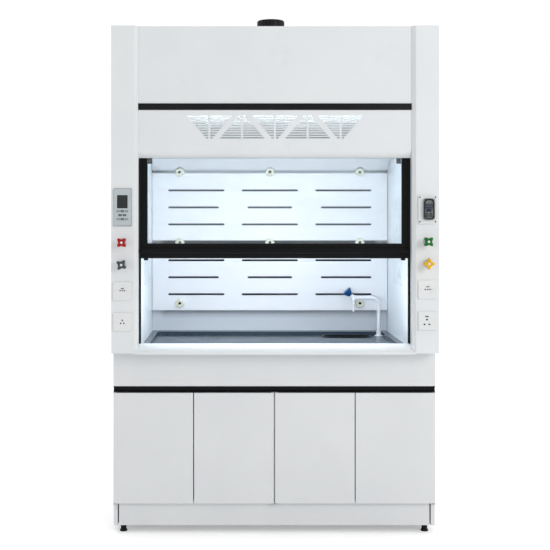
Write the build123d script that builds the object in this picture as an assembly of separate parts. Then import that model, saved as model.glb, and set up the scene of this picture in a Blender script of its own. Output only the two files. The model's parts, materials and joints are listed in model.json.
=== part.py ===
from build123d import *
import math
import os

os.makedirs("parts", exist_ok=True)

# Ducted fume hood: a working chamber with a rising glass sash, standing on a four-door cupboard.
# Millimetres, +Z up, front towards -Y. X = 0 is the middle, Z = 0 the floor.
# "Depth" is the distance behind the front faces of the two posts.

# Overall
hood_width = 1500.0
hood_depth = 850.0
hood_height = 2350.0
knob_reach = 55.0  # how far the valve knobs stand in front of the posts
sheet = 2.0  # folded steel sheet of the outer skin

# Base cupboard
board = 18.0
foot_height = 33.0  # underside of the side boards above the floor
base_setback = 88.0  # door fronts behind the post fronts
door_thickness = 18.0
door_back_gap = 2.0
door_gap = 4.5
door_count = 4
door_edge_gap = 1.0  # door ends to the pivot plates
kick_top = 136.0
kick_thickness = 10.0
kick_setback = 4.0
kick_end_gap = 6.0
pull_rail_bottom = 659.0
pull_rail_height = 27.5
pull_rail_wall = 3.0
pull_rail_lip = 10.0
fascia_top = 844.0
base_top = 849.0
rail_depth = 100.0
shelf_height = 405.0
shelf_gap = 1.0
pivot_inset = 6.0
pivot_radius = 2.5
pivot_bore_clearance = 0.05
pivot_depth = 12.0
pivot_plate = 3.0
pivot_plate_half = 8.0
door_edge_round = 5.5

# Levelling legs
leg_side_inset = 43.0
leg_kick_gap = 0.5  # front pads behind the kick plate
leg_rear_inset = 60.0  # rear legs in front of the hood's back
pad_radius = 17.5
pad_height = 8.0
pad_edge = 2.0
pad_neck = 4.0
leg_radius = 14.0
leg_cap_radius = 17.0
leg_cap_height = 14.0
leg_cap_taper = 6.0

# Worktop
worktop_thickness = 25.0
worktop_side_gap = 1.0
worktop_front_depth = 84.0
rim_width = 32.0
rear_rim_width = 68.0
dish_depth = 15.0
dish_corner = 14.0

# Posts and outer skin
post_width = 122.0
post_front_face = 105.0
post_chamfer_depth = 17.0
post_jamb_depth = 57.0
post_return_depth = 31.0
panel_gap = 1.0

# Chamber
liner_step = 8.0  # side linings stand this far inside the post jambs
liner = 5.0
back_space = 39.0  # face of the rear lining to the hood's back
ceiling_drop = 100.0
lintel_gap = 13.0  # sash to lintel
opening_top = 1746.0  # lower edge of the header
lintel_lift = 1.0
cover_front_depth = 251.0
cover_length = 276.0
cover_bottom = 1144.0
cover_height = 428.0
cover_thickness = 3.0
cover_corner = 18.0
cover_overlap = 20.0

# Header between the posts
header_depth = 20.0
trim_bottom = 1965.0
trim_height = 30.5
trim_proud = 3.0
header_bend_height = 48.0
header_bend_run = 28.0
louvre_rows = 10
louvre_pitch = 11.0
louvre_height = 5.5
louvre_bottom = 1835.0
louvre_wide = 202.0
louvre_narrow = 35.0
louvre_groups = 5
louvre_group_pitch = 150.7
louvre_bar = 8.0

# Sill
sill_lip_height = 16.0
sill_top = 887.0
sill_crest_depth = 64.0
sill_lip_round = 4.0
sill_bulge_depth = 22.0  # a point on the rounded rise of the sill
sill_bulge_rise = 11.0  # that point above the lip
sill_wall = 3.0
sill_end_gap = 0.5

# Sash
sash_depth = 62.0
sash_thickness = 18.0
sash_rail = 40.0
sash_bottom = 1282.6
sash_bottom_rail = 67.4
sash_top_rail = 40.0
sash_top_gap = 165.0  # sash top below the hood's top, half open
sash_corner_cut = 10.0
glass_thickness = 5.0
glass_bite = 6.0
handle_bottom = 1305.0
handle_height = 22.0
handle_reach = 17.0
handle_end_gap = 2.0
bumper_width = 20.0
bumper_height = 9.6
bumper_inset = 34.0

# Sash tracks
track_lap = 10.0  # sash edge inside its channel
track_wall = 2.0
track_side_gap = 2.5
track_end_gap = 4.0
track_top_gap = 20.0
stop_block_width = 21.0
stop_block_height = 25.0
stop_block_depth = 11.0
stop_block_inset = 52.0

# Counterbalance
cable_radius = 1.5
cable_inset = 30.0  # cables inside the sash edges
pulley_radius = 22.0  # to the middle of the cable
pulley_flange = 3.5
pulley_width = 10.0
groove_gap = 0.4
groove_side_gap = 0.6
shaft_radius = 5.0
shaft_clearance = 0.05
pulley_drop = 50.0  # shafts below the hood's top
cable_gap = 6.5  # sash back to the front of the cable
bracket_ear = 3.0
bracket_side_gap = 2.0
bracket_half = 11.0
flange_taper = 1.0
lug_drop = 55.0  # lug top below the sash top
lug_size = 12.0
lug_gap = 1.0
weight_thickness = 24.0
weight_overhang = 11.0  # counterweight ends outside the cables
weight_bottom = 1500.0
weight_gap = 2.0
bumper_setback = 2.0
glass_density = 2.5e-6
sash_density = 2.7e-6
weight_density = 7.85e-6

# Baffles
baffle_space = 76.0  # face of the baffles to the rear lining
baffle_thickness = 6.0
baffle_side_gap = 2.0
upper_baffle_bottom = 1354.0
upper_baffle_top = 1707.0
lower_baffle_bottom = 987.0
lower_baffle_top = 1334.0
slot_height = 10.0
top_baffle_start = 1722.0
top_baffle_rise = 0.587  # upwards per unit forwards
top_baffle_run = 490.0
baffle_knob_radius = 25.0
baffle_knob_thickness = 14.0
baffle_knob_lobes = 8
baffle_knob_waist = 22.0
lobe_radius = 5.0
lobe_setback = 2.0  # lobes behind the knob's face
stud_setback = 1.0
baffle_row_pitch = 89.3
upper_first_row = 1617.0
lower_first_row = 1249.7
long_row = (147.5, 239.3, 533.7)  # half the middle slot, start and end of the outer one
short_row = (117.0, 268.5, 533.7)
stud_radius = 4.0
spacer_radius = 9.0
knob_column = 472.7
knob_heights = [1712.7, 1344.0, 1024.0]

# Lamp above the ceiling
lamp_half_length = 310.0
lamp_share = 0.189  # share of the free depth between pulley shaft and exhaust sleeve left in front of the box
lamp_width = 160.0
lamp_lap = 10.0
lamp_glass = 6.0
lamp_box_height = 56.0
lamp_box_wall = 2.0

# Exhaust collar
collar_from_back = 255.0
sleeve_radius = 121.5
collar_wall = 4.0
collar_flange_radius = 150.0
collar_flange = 4.0
collar_hole_gap = 1.0
cone_height = 62.0
spigot_bore = 65.0
spigot_wall = 2.6
spigot_rise = 129.0  # collar top above the roof
rib_count = 28
rib_height = 2.1
rib_width = 4.0
cable_entry_radius = 10.25
cable_entry_x = 520.0
cable_entry_depth = 420.0

# Fume controller on the left post
controller_inset = 52.5  # middle of the controller inside the hood's side
controller_width = 80.0
controller_bottom = 1432.7
controller_height = 170.6
controller_thickness = 12.0
controller_corner = 3.5
controller_chamfer = 3.0
screen_width = 48.0
screen_height = 60.0
screen_bottom = 1513.5
screen_thickness = 2.0
key_width = 15.0
key_height = 8.5
key_gap = 0.4
key_proud = 1.2
key_length = 6.5
key_pocket = 7.0
key_rows = [(1500.0, (-19.0, 0.0, 19.0)), (1482.0, (-10.0, 10.0)), (1464.0, (-19.0, 0.0, 19.0))]

# Breaker box on the right post
breaker_inset = 54.2
breaker_width = 84.5
breaker_bottom = 1441.9
breaker_height = 132.6
breaker_thickness = 10.0
module_width = 40.0
module_height = 72.0
module_bottom = 1468.0
module_face = 14.0
breaker_window_inset = 49.5
window_gap = 1.0
cover_lid_width = 49.4
lid_bottom = 1461.0
lid_height = 95.5
lid_reach = 16.0
lid_wall = 2.0
lid_gap = 0.5
lid_corner = 10.0
lid_web = 3.0
lid_clearance = 1.0
lid_tab = (16.0, 4.0, 3.0)  # width, height and reach of the finger tab
lid_tab_rise = 3.0
lid_pin_radius = 1.5
lid_barrel_radius = 3.2
lid_barrel_length = 36.0
lid_pin_height = 1555.0
lid_pin_reach = 4.0
ear_width = 3.0
toggle_radius = 7.0
toggle_width = 24.0
toggle_lever = 11.0
toggle_lever_inset = 4.0  # lever narrower than its drum
toggle_lever_thickness = 5.0
toggle_lever_round = 1.5
toggle_tilt = 20.0
toggle_setback = 2.0  # drum axis behind the module's face
toggle_side_gap = 0.5
toggle_height = 1504.0

# Socket outlets
socket_size = 86.0
socket_thickness = 8.0
socket_corner = 5.0
socket_box = 58.0
socket_box_depth = 30.0
socket_box_gap = 1.0
socket_face_radius = 22.0
socket_face_recess = 1.5
plate_chamfer = 1.5
contact_depth = 12.0
outlets = [  # side, distance inside the hood's side, height, round face, contacts (across, up, width, height)
    (-1, 52.0, 1134.6, True,
     [(-10.0, 2.5, 6.0, 5.0), (0.0, 2.5, 6.0, 5.0), (10.0, 2.5, 6.0, 5.0), (0.0, 12.0, 12.0, 4.0)]),
    (-1, 52.0, 993.8, False,
     [(0.0, 7.5, 5.6, 7.0), (-7.5, -5.5, 5.6, 6.4), (7.0, -5.5, 5.6, 6.4)]),
    (1, 53.1, 1142.8, True,
     [(-11.0, 0.0, 6.0, 5.5), (0.0, 0.0, 6.0, 5.5), (11.0, 0.0, 6.0, 5.5), (0.0, 12.0, 13.0, 3.5)]),
    (1, 53.1, 999.3, False,
     [(-4.0, 20.0, 15.0, 4.6), (-4.0, 6.0, 7.5, 7.0), (-15.0, -16.0, 8.0, 6.0), (7.0, -16.0, 8.0, 6.0)]),
]

# Service valves
valve_places = {  # side, distance inside the hood's side, height
    "red": (-1, 52.5, 1357.3),
    "grey": (-1, 51.5, 1256.2),
    "green": (1, 56.0, 1361.4),
    "yellow": (1, 54.0, 1261.2),
}
valve_turned = {"grey": 10.0, "yellow": 45.0}
rosette_radius = 19.0
rosette_thickness = 5.0
bonnet_radius = 9.0
bonnet_reach = 27.0
valve_stem_radius = 4.0
valve_stem_short = 6.0  # stem ends behind the knob's face
valve_bore_short = 5.0
valve_arms = 4
valve_arm_waist = 1.0
valve_stem_clearance = 0.05
valve_knob_radius = 26.0
valve_knob_height = 24.0
valve_lobe_radius = 7.0
valve_hub_radius = 12.5
valve_body_radius = 11.0
valve_body_depth = 40.0
valve_hole_gap = 1.0
tail_radius = 6.5
tail_length = 45.0

# Water tap and cup sink
tap_inset = 55.0  # from the right lining
tap_from_baffle = 54.0
tap_flange_radius = 22.0
tap_flange = 4.0
tap_foot_radius = 13.0
tap_foot_height = 30.0
tap_foot_draft = 2.0
tap_foot_step = 2.0
tap_swivel_gap = 0.4
tap_tube_radius = 9.5
tap_spigot_radius = 6.0
tap_spigot_length = 22.0
tap_bore_extra = 1.0  # bore deeper than the spigot
tap_clearance = 0.05
tap_spout_height = 1055.0
tap_bend = 40.0
tap_reach = 131.0
tap_body_radius = 14.0
tap_body_height = 30.0
nozzle_radius = 6.0
nozzle_bottom = 983.0
nozzle_bore = 2.5
nozzle_barb = 9.0  # pitch of the barbs
nozzle_barb_depth = 1.4
nozzle_barbs = 3
nozzle_shoulder = 2.0
tap_bonnet_step = 2.0
tap_bonnet_gap = 0.5
tap_stem_radius = 4.0
tap_stem_length = 40.0
tap_knob_start = 22.0
tap_knob_length = 33.0
tap_knob_narrow = 12.5
tap_knob_wide = 26.0
tap_knob_edge = 5.0
tap_knob_round = 2.0
tap_knob_tilt = 45.0
sink_from_tap = 170.0
sink_forward = 36.0
sink_rim_half_length = 129.0
sink_rim_half_width = 62.0
sink_rim_height = 4.0
sink_rim_width = 9.0
sink_corner = 50.0
sink_wall = 4.0
sink_bowl_depth = 105.0
sink_hole_gap = 2.0
waste_radius = 20.0
waste_bore = 17.0
waste_length = 45.0

# Worked-out places
front_y = -(hood_depth - knob_reach) / 2
half_width = hood_width / 2
jamb_x = half_width - post_width
chamfer_x = half_width - post_front_face
chamber_half = jamb_x - liner_step
chamber_back_depth = hood_depth - back_space
ceiling_height = hood_height - ceiling_drop
sash_half = chamber_half + track_lap
sash_back = sash_depth + sash_thickness
sash_top = hood_height - sash_top_gap
lintel_depth = sash_back + lintel_gap
lintel_bottom = opening_top + lintel_lift
header_bottom = opening_top
header_bend_top = header_bottom + header_bend_height
sill_lip_bottom = fascia_top
rear_rim_depth = chamber_back_depth - rear_rim_width
leg_rear_depth = hood_depth - leg_rear_inset
baffle_depth = chamber_back_depth - baffle_space
cable_half_spacing = sash_half - cable_inset
front_pulley_depth = sash_back + cable_gap + cable_radius + pulley_radius
pulley_height = hood_height - pulley_drop
lug_height = sash_top - lug_drop
weight_half = cable_half_spacing + weight_overhang
shaft_back = front_pulley_depth + shaft_radius
collar_depth = hood_depth - collar_from_back
lamp_edge = lamp_lap + lamp_box_wall
lamp_free = collar_depth - sleeve_radius - shaft_back - lamp_width - 2 * lamp_edge
lamp_front_depth = shaft_back + lamp_edge + lamp_share * lamp_free
spigot_top = hood_height + spigot_rise
controller_x = controller_inset - half_width
breaker_x = half_width - breaker_inset
breaker_window_x = half_width - breaker_window_inset
sockets = [(side * (half_width - inset), height) for side, inset, height, _, _ in outlets]
valves = {name: (side * (half_width - inset), z) for name, (side, inset, z) in valve_places.items()}
tap_x = chamber_half - tap_inset
tap_depth = baffle_depth - tap_from_baffle
tap_outlet_x = tap_x - tap_reach
sink_x = tap_x - sink_from_tap
sink_depth = tap_depth - sink_forward
carcass_front = base_setback + door_thickness + door_back_gap
kick_front = carcass_front + kick_setback
leg_front_depth = kick_front + kick_thickness + leg_kick_gap + pad_radius
door_width = (hood_width - (door_count - 1) * door_gap) / door_count
door_bottom = kick_top + pivot_plate + door_edge_gap
door_top = pull_rail_bottom - pivot_plate - door_edge_gap
worktop_top = base_top + worktop_thickness
dish_level = worktop_top - dish_depth
back_panel_depth = hood_depth - sheet
roof_bottom = hood_height - sheet
track_inner = sash_half - track_lap
track_outer = sash_half + track_end_gap + track_wall
track_front = sash_depth - track_side_gap - track_wall
track_back = sash_back + track_side_gap + track_wall
rear_pulley_depth = chamber_back_depth + liner + weight_gap * 2 + weight_thickness / 2 - pulley_radius
pulley_groove = pulley_radius - cable_radius - groove_gap


def slab(x, depth, z):
    """A box given its two X values, its two depths behind the post fronts and its two heights."""
    size = (x[1] - x[0], depth[1] - depth[0], z[1] - z[0])
    corner = (min(x), front_y + min(depth), min(z))
    return Pos(*corner) * Box(*[abs(value) for value in size], align=(Align.MIN,) * 3)


def both_sides(shape):
    """A shape and its mirror image across the middle of the hood."""
    return [shape, mirror(shape, about=Plane.YZ)]


def side_profile(points, x):
    """A closed outline of (depth, height) points carried along X."""
    outline = Polyline(*[(front_y + depth, z) for depth, z in points], close=True)
    face = make_face(Plane.YZ * outline)
    return Pos(x[0], 0, 0) * extrude(face, amount=x[1] - x[0], dir=(1, 0, 0))


def rod(centre, direction, radius, length):
    """A round bar from a centre point along a direction."""
    plane = Plane(origin=centre, z_dir=direction)
    return extrude(plane * Circle(radius), amount=length)


def front_disc(x, z, depth, radius, length):
    """A disc or bar whose axis runs front to back, from a depth backwards."""
    return rod((x, front_y + depth, z), (0, 1, 0), radius, length)


def front_plate(x, z, size, depth, thickness, corner):
    """A plate facing forwards with rounded corners, centred on x and z."""
    plane = Plane(origin=(x, front_y + depth, z), x_dir=(1, 0, 0), z_dir=(0, -1, 0))
    return extrude(plane * RectangleRounded(size[0], size[1], corner), amount=-thickness)


def write(name, shape):
    """One STEP file for one node; several solids stay separate in it."""
    if isinstance(shape, list):
        solids = [solid for item in shape for solid in item.solids()]
        shape = Compound(children=solids)
    export_step(shape, f"parts/{name}.step")


def make_carcass():
    side = slab((half_width - board, half_width), (carcass_front, hood_depth), (foot_height, base_top))
    inner_x = half_width - board
    back_front = hood_depth - board
    floor = slab((-inner_x, inner_x), (carcass_front, back_front), (kick_top, kick_top + board))
    for x in (-1, 1):
        for depth in (leg_front_depth, leg_rear_depth):
            bolt = Pos(x * (half_width - leg_side_inset), front_y + depth, kick_top)
            floor -= bolt * Cylinder(stud_radius, board * 2 + 1)
    back = slab((-inner_x, inner_x), (back_front, hood_depth), (foot_height, base_top))
    floor_top = kick_top + board
    rail_bottom = base_top - board
    divider = slab((-board / 2, board / 2), (carcass_front, back_front), (floor_top, rail_bottom))
    front_rail = slab((-inner_x, inner_x), (carcass_front, carcass_front + rail_depth), (rail_bottom, base_top))
    rear_rail = slab((-inner_x, inner_x), (back_front - rail_depth, back_front), (rail_bottom, base_top))
    shelf_x = (board / 2 + shelf_gap, inner_x - shelf_gap)
    shelf = slab(shelf_x, (carcass_front + rail_depth / 2, back_front), (shelf_height, shelf_height + board))
    boards = both_sides(side) + both_sides(shelf) + [floor, back, divider, front_rail, rear_rail]
    return boards


def make_kick_plate():
    x = half_width - board - kick_end_gap
    return slab((-x, x), (kick_front, kick_front + kick_thickness), (foot_height, kick_top))


def make_pull_rail():
    top = pull_rail_bottom + pull_rail_height
    wall_front = carcass_front - pull_rail_wall
    lip_front = carcass_front - pull_rail_lip
    outline = [
        (base_setback, top), (carcass_front, top), (carcass_front, pull_rail_bottom),
        (lip_front, pull_rail_bottom), (lip_front, pull_rail_bottom + pull_rail_wall),
        (wall_front, pull_rail_bottom + 2 * pull_rail_wall), (wall_front, top - pull_rail_wall),
        (base_setback, top - pull_rail_wall),
    ]
    return side_profile(outline, (-half_width, half_width))


def door_places():
    """Left edge, hinge edge and the way into the door for each door."""
    places = []
    for index in range(door_count):
        left = -half_width + index * (door_width + door_gap)
        hinged_left = index % 2 == 0
        edge = left if hinged_left else left + door_width
        inward = 1 if hinged_left else -1
        places.append((left, edge, inward))
    return places


def make_door(left, edge, inward):
    depth = (base_setback, base_setback + door_thickness)
    body = slab((left, left + door_width), depth, (door_bottom, door_top))
    front_edges = body.edges().filter_by(Axis.Z).group_by(Axis.Y)[0].sort_by(Axis.X)
    hinge_edge = front_edges[0] if inward > 0 else front_edges[-1]
    body = fillet(hinge_edge, door_edge_round)
    pivot_x = edge + inward * pivot_inset
    pivot_y = front_y + base_setback + pivot_inset
    bore_depth = pivot_depth + door_edge_gap
    for z in (door_bottom, door_top):
        bore = Cylinder(pivot_radius + pivot_bore_clearance, 2 * bore_depth)
        body -= Pos(pivot_x, pivot_y, z) * bore
    return body


def make_door_pivots():
    pieces = []
    for left, edge, inward in door_places():
        pivot_x = edge + inward * pivot_inset
        x = sorted((edge, pivot_x + inward * pivot_plate_half))
        pin_at = (pivot_x, front_y + base_setback + pivot_inset)
        lower = slab(x, (base_setback, carcass_front), (kick_top, kick_top + pivot_plate))
        upper = slab(x, (base_setback, carcass_front), (pull_rail_bottom - pivot_plate, pull_rail_bottom))
        lower += rod((*pin_at, kick_top), (0, 0, 1), pivot_radius, pivot_plate + pivot_depth)
        upper += rod((*pin_at, pull_rail_bottom), (0, 0, -1), pivot_radius, pivot_plate + pivot_depth)
        pieces += [lower, upper]
    return pieces


def make_legs():
    """Four screw-in legs, each one turned shape: foot pad, column and top flange."""
    outline = Polyline(
        (0, 0), (pad_radius - pad_edge, 0), (pad_radius, pad_edge), (pad_radius, pad_height),
        (leg_radius, pad_height + pad_neck), (leg_radius, kick_top - leg_cap_height),
        (leg_cap_radius, kick_top - leg_cap_height + leg_cap_taper), (leg_cap_radius, kick_top),
        (0, kick_top), close=True)
    leg = revolve(make_face(Plane.XZ * outline), axis=Axis.Z)
    leg += Pos(0, 0, kick_top) * Cylinder(stud_radius, board - 1, align=(Align.CENTER, Align.CENTER, Align.MIN))
    legs = []
    for x in (-1, 1):
        for depth in (leg_front_depth, leg_rear_depth):
            legs.append(Pos(x * (half_width - leg_side_inset), front_y + depth, 0) * leg)
    return legs


def make_worktop():
    x = half_width - sheet - worktop_side_gap
    back = back_panel_depth - worktop_side_gap
    top = slab((-x, x), (worktop_front_depth, back), (base_top, worktop_top))
    dish_x = chamber_half - rim_width
    dish_depths = (worktop_front_depth + rim_width, rear_rim_depth)
    dish = slab((-dish_x, dish_x), dish_depths, (dish_level, worktop_top + 1))
    dish = fillet(dish.edges().filter_by(Axis.Z), dish_corner)
    top -= dish
    hole = sink_outline(sink_rim_width - sink_hole_gap)
    return top - Pos(0, 0, base_top - 1) * extrude(hole, amount=worktop_thickness + 2)


def sink_outline(inset):
    """The round-ended oblong of the cup sink, drawn smaller by an even inset, at height zero."""
    length = 2 * (sink_rim_half_length - inset)
    width = 2 * (sink_rim_half_width - inset)
    return Pos(sink_x, front_y + sink_depth, 0) * RectangleRounded(length, width, sink_corner - inset)


def make_sink():
    rim = Pos(0, 0, dish_level) * extrude(sink_outline(0), amount=sink_rim_height)
    bowl_bottom = dish_level - sink_bowl_depth
    bowl = Pos(0, 0, bowl_bottom) * extrude(sink_outline(sink_rim_width), amount=sink_bowl_depth)
    centre = (sink_x, front_y + sink_depth)
    tail = rod((*centre, bowl_bottom - waste_length), (0, 0, 1), waste_radius, waste_length)
    inside = extrude(sink_outline(sink_rim_width + sink_wall), amount=sink_bowl_depth + sink_rim_height)
    inside = Pos(0, 0, bowl_bottom + sink_wall) * inside
    drain = rod((*centre, bowl_bottom - waste_length - 1), (0, 0, 1), waste_bore, waste_length + sink_wall + 2)
    return rim + bowl + tail - inside - drain


def post_section(shrink):
    """The post seen from above: front face, inner chamfer, jamb and outer return."""
    points = [
        (half_width, 0), (chamfer_x, 0), (jamb_x, post_chamfer_depth), (jamb_x, post_jamb_depth),
        (half_width, post_jamb_depth),
    ]
    outline = Polyline(*[(x, front_y + depth) for x, depth in points], close=True)
    face = make_face(outline)
    if shrink:
        face = offset(face, amount=-shrink, kind=Kind.INTERSECTION)
    return face


def make_post(side, cutouts):
    """A folded steel post for one side of the hood, open at the back between its returns."""
    height = hood_height - base_top
    body = Pos(0, 0, base_top) * extrude(post_section(0), amount=height)
    core = Pos(0, 0, base_top + sheet) * extrude(post_section(sheet), amount=height - 2 * sheet)
    inner_x = (jamb_x + sheet, half_width - sheet)
    back = slab(inner_x, (post_jamb_depth / 2, post_jamb_depth + 1), (base_top + sheet, hood_height - sheet))
    past_return = slab((half_width - sheet, half_width + 1), (post_return_depth, post_jamb_depth + 1),
                       (base_top - 1, hood_height + 1))
    body -= core
    body -= back
    body -= past_return
    foot = slab((jamb_x, half_width - sheet - worktop_side_gap), (post_jamb_depth, worktop_front_depth),
                (base_top, base_top + sheet))
    body += foot
    if side < 0:
        body = mirror(body, about=Plane.YZ)
    for cutout in cutouts:
        body -= cutout
    return body


def valve_hole(name):
    x, z = valves[name]
    return front_disc(x, z, -1, valve_body_radius + valve_hole_gap, sheet + 2)


def socket_hole(x, z):
    size = socket_box + 2 * socket_box_gap
    return front_plate(x, z, (size, size), -1, sheet + 2, socket_corner)


def collar_hole(z):
    """The round way through one sheet for the exhaust sleeve, starting just below height z."""
    return rod((0, front_y + collar_depth, z - 1), (0, 0, 1), sleeve_radius + collar_hole_gap, sheet + 2)


def make_outer_panels():
    side_depth = (post_return_depth + panel_gap, hood_depth)
    side = slab((half_width - sheet, half_width), side_depth, (base_top, hood_height))
    inner = half_width - sheet
    back = slab((-inner, inner), (back_panel_depth, hood_depth), (base_top, hood_height))
    roof = slab((-inner, inner), (post_jamb_depth, back_panel_depth), (roof_bottom, hood_height))
    roof -= collar_hole(roof_bottom)
    entry = (cable_entry_x, front_y + cable_entry_depth, roof_bottom - 1)
    roof -= rod(entry, (0, 0, 1), cable_entry_radius, sheet + 2)
    return both_sides(side) + [back, roof]


def make_chamber_walls():
    back_face = chamber_back_depth + liner
    wall = slab((chamber_half, chamber_half + liner), (track_back, back_face), (worktop_top, ceiling_height))
    hole_depth = (cover_front_depth + cover_overlap, cover_front_depth + cover_length - cover_overlap)
    hole_height = (cover_bottom + cover_overlap, cover_bottom + cover_height - cover_overlap)
    wall -= slab((chamber_half - 1, chamber_half + liner + 1), hole_depth, hole_height)
    rear = slab((-chamber_half, chamber_half), (chamber_back_depth, back_face), (worktop_top, ceiling_height))
    for x, z in baffle_knob_places():
        rear -= front_disc(x, z, chamber_back_depth - 1, stud_radius, liner + 2)
    return both_sides(wall) + [rear]


def make_access_covers():
    x = chamber_half - cover_thickness
    cover = slab((x, chamber_half), (cover_front_depth, cover_front_depth + cover_length),
                 (cover_bottom, cover_bottom + cover_height))
    cover = fillet(cover.edges().filter_by(Axis.X), cover_corner)
    return both_sides(cover)


def make_ceiling():
    lintel = slab((-chamber_half, chamber_half), (lintel_depth, lintel_depth + sheet),
                  (lintel_bottom, ceiling_height))
    top = slab((-chamber_half, chamber_half), (lintel_depth, chamber_back_depth + liner),
               (ceiling_height, ceiling_height + sheet))
    lamp_depth = (lamp_front_depth, lamp_front_depth + lamp_width)
    base = ceiling_height + sheet
    top -= slab((-lamp_half_length, lamp_half_length), lamp_depth, (ceiling_height - 1, base + 1))
    top -= collar_hole(ceiling_height)
    x = lamp_half_length + lamp_edge
    outside = (lamp_depth[0] - lamp_edge, lamp_depth[1] + lamp_edge)
    inside = (lamp_depth[0] - lamp_lap, lamp_depth[1] + lamp_lap)
    lamp_box = slab((-x, x), outside, (base, base + lamp_box_height))
    inner_x = lamp_half_length + lamp_lap
    lamp_box -= slab((-inner_x, inner_x), inside, (base - 1, base + lamp_box_height - lamp_box_wall))
    return [lintel, top, lamp_box]


def make_lamp_window():
    x = lamp_half_length + lamp_lap
    depth = (lamp_front_depth - lamp_lap, lamp_front_depth + lamp_width + lamp_lap)
    base = ceiling_height + sheet
    return slab((-x, x), depth, (base, base + lamp_glass))


def make_exhaust_collar():
    """Sleeve through roof and ceiling, bolted flange, cone and a ribbed round spigot, turned as one."""
    sleeve_bore = sleeve_radius - collar_wall
    spigot_outer = spigot_bore + spigot_wall
    flange_top = hood_height + collar_flange
    cone_top = flange_top + cone_height
    outline = Polyline(
        (sleeve_bore, ceiling_height), (sleeve_radius, ceiling_height), (sleeve_radius, hood_height),
        (collar_flange_radius, hood_height), (collar_flange_radius, flange_top), (sleeve_radius, flange_top),
        (spigot_outer, cone_top), (spigot_outer, spigot_top), (spigot_bore, spigot_top),
        (spigot_bore, cone_top), (sleeve_bore, flange_top), close=True)
    collar = revolve(make_face(Plane.XZ * outline), axis=Axis.Z)
    rib = Pos(spigot_outer - 0.5, 0, cone_top) * Box(rib_height + 0.5, rib_width, spigot_top - cone_top,
                                                     align=(Align.MIN, Align.CENTER, Align.MIN))
    for index in range(rib_count):
        collar += Rot(0, 0, index * 360 / rib_count) * rib
    return Pos(0, front_y + collar_depth, 0) * collar


def make_header_upper():
    bottom = trim_bottom + trim_height
    front = slab((-jamb_x, jamb_x), (header_depth, header_depth + sheet), (bottom, hood_height))
    top = slab((-jamb_x, jamb_x), (header_depth + sheet, post_jamb_depth), (roof_bottom, hood_height))
    return front + top


def make_header_trim():
    front = header_depth - trim_proud
    return slab((-jamb_x, jamb_x), (front, header_depth + sheet), (trim_bottom, trim_bottom + trim_height))


def make_header_lower():
    """Flat sheet with louvre slots, curling inwards at the bottom on one arc."""
    drop = header_bend_top - header_bottom
    radius = (header_bend_run ** 2 + drop ** 2) / (2 * header_bend_run)
    sweep_angle = math.degrees(math.asin(drop / radius))
    centre = (front_y + header_depth + radius, header_bend_top)
    outer = CenterArc(centre, radius, 180, sweep_angle)
    inner = CenterArc(centre, radius - sheet, 180, sweep_angle)
    front = front_y + header_depth
    top_line = Polyline(outer @ 0, (front, trim_bottom), (front + sheet, trim_bottom), inner @ 0)
    end_line = Line(outer @ 1, inner @ 1)
    face = make_face(Plane.YZ * Curve([outer, inner, top_line, end_line]))
    panel = Pos(-jamb_x, 0, 0) * extrude(face, amount=2 * jamb_x, dir=(1, 0, 0))
    return panel - louvre_cutter()


def louvre_cutter():
    """Rows of slots in groups that narrow downwards and upwards by turns, each split by a bar."""
    slots = []
    step = (louvre_wide - louvre_narrow) / (louvre_rows - 1)
    for group in range(louvre_groups):
        centre_x = (group - (louvre_groups - 1) / 2) * louvre_group_pitch
        for row in range(louvre_rows):
            widest_at_top = group % 2 == 0
            rank = row if widest_at_top else louvre_rows - 1 - row
            half = (louvre_narrow + rank * step - louvre_bar) / 2
            z = louvre_bottom + louvre_height / 2 + row * louvre_pitch
            for side in (-1, 1):
                x = centre_x + side * (louvre_bar + half) / 2
                slots.append(Pos(x, z) * SlotOverall(half, louvre_height))
    plane = Plane(origin=(0, front_y + header_depth - 1, 0), x_dir=(1, 0, 0), z_dir=(0, -1, 0))
    cutter = [extrude(plane * slot, amount=-(sheet + 2)) for slot in slots]
    return Compound(children=cutter)


def make_sill():
    """Airfoil sill: an upright front lip, a rounded rise to the crest and a step at the back."""
    lip_top = sill_lip_bottom + sill_lip_height
    y0 = front_y
    bulge = (y0 + sill_bulge_depth, lip_top + sill_bulge_rise)
    rise = ThreePointArc((y0, lip_top - sill_lip_round), bulge, (y0 + sill_crest_depth, sill_top))
    rest = Polyline(rise @ 1, (y0 + worktop_front_depth, sill_top), (y0 + worktop_front_depth, base_top),
                    (y0 + base_setback / 2, base_top), (y0 + sill_wall, sill_lip_bottom), (y0, sill_lip_bottom),
                    rise @ 0)
    face = make_face(Plane.YZ * Curve([rise, rest]))
    inner = offset(face, amount=-sill_wall, kind=Kind.INTERSECTION)
    length = chamfer_x - sill_end_gap
    body = Pos(-length, 0, 0) * extrude(face - inner, amount=2 * length, dir=(1, 0, 0))
    corner = [(chamfer_x - sill_end_gap, -1), (jamb_x - sill_end_gap, post_chamfer_depth),
              (jamb_x - sill_end_gap, worktop_front_depth + 1), (half_width, worktop_front_depth + 1),
              (half_width, -1)]
    outline = Polyline(*[(x, front_y + depth) for x, depth in corner], close=True)
    cutter = Pos(0, 0, sill_lip_bottom - 1) * extrude(make_face(outline), amount=sill_top)
    for piece in both_sides(cutter):
        body -= piece
    return body


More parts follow.
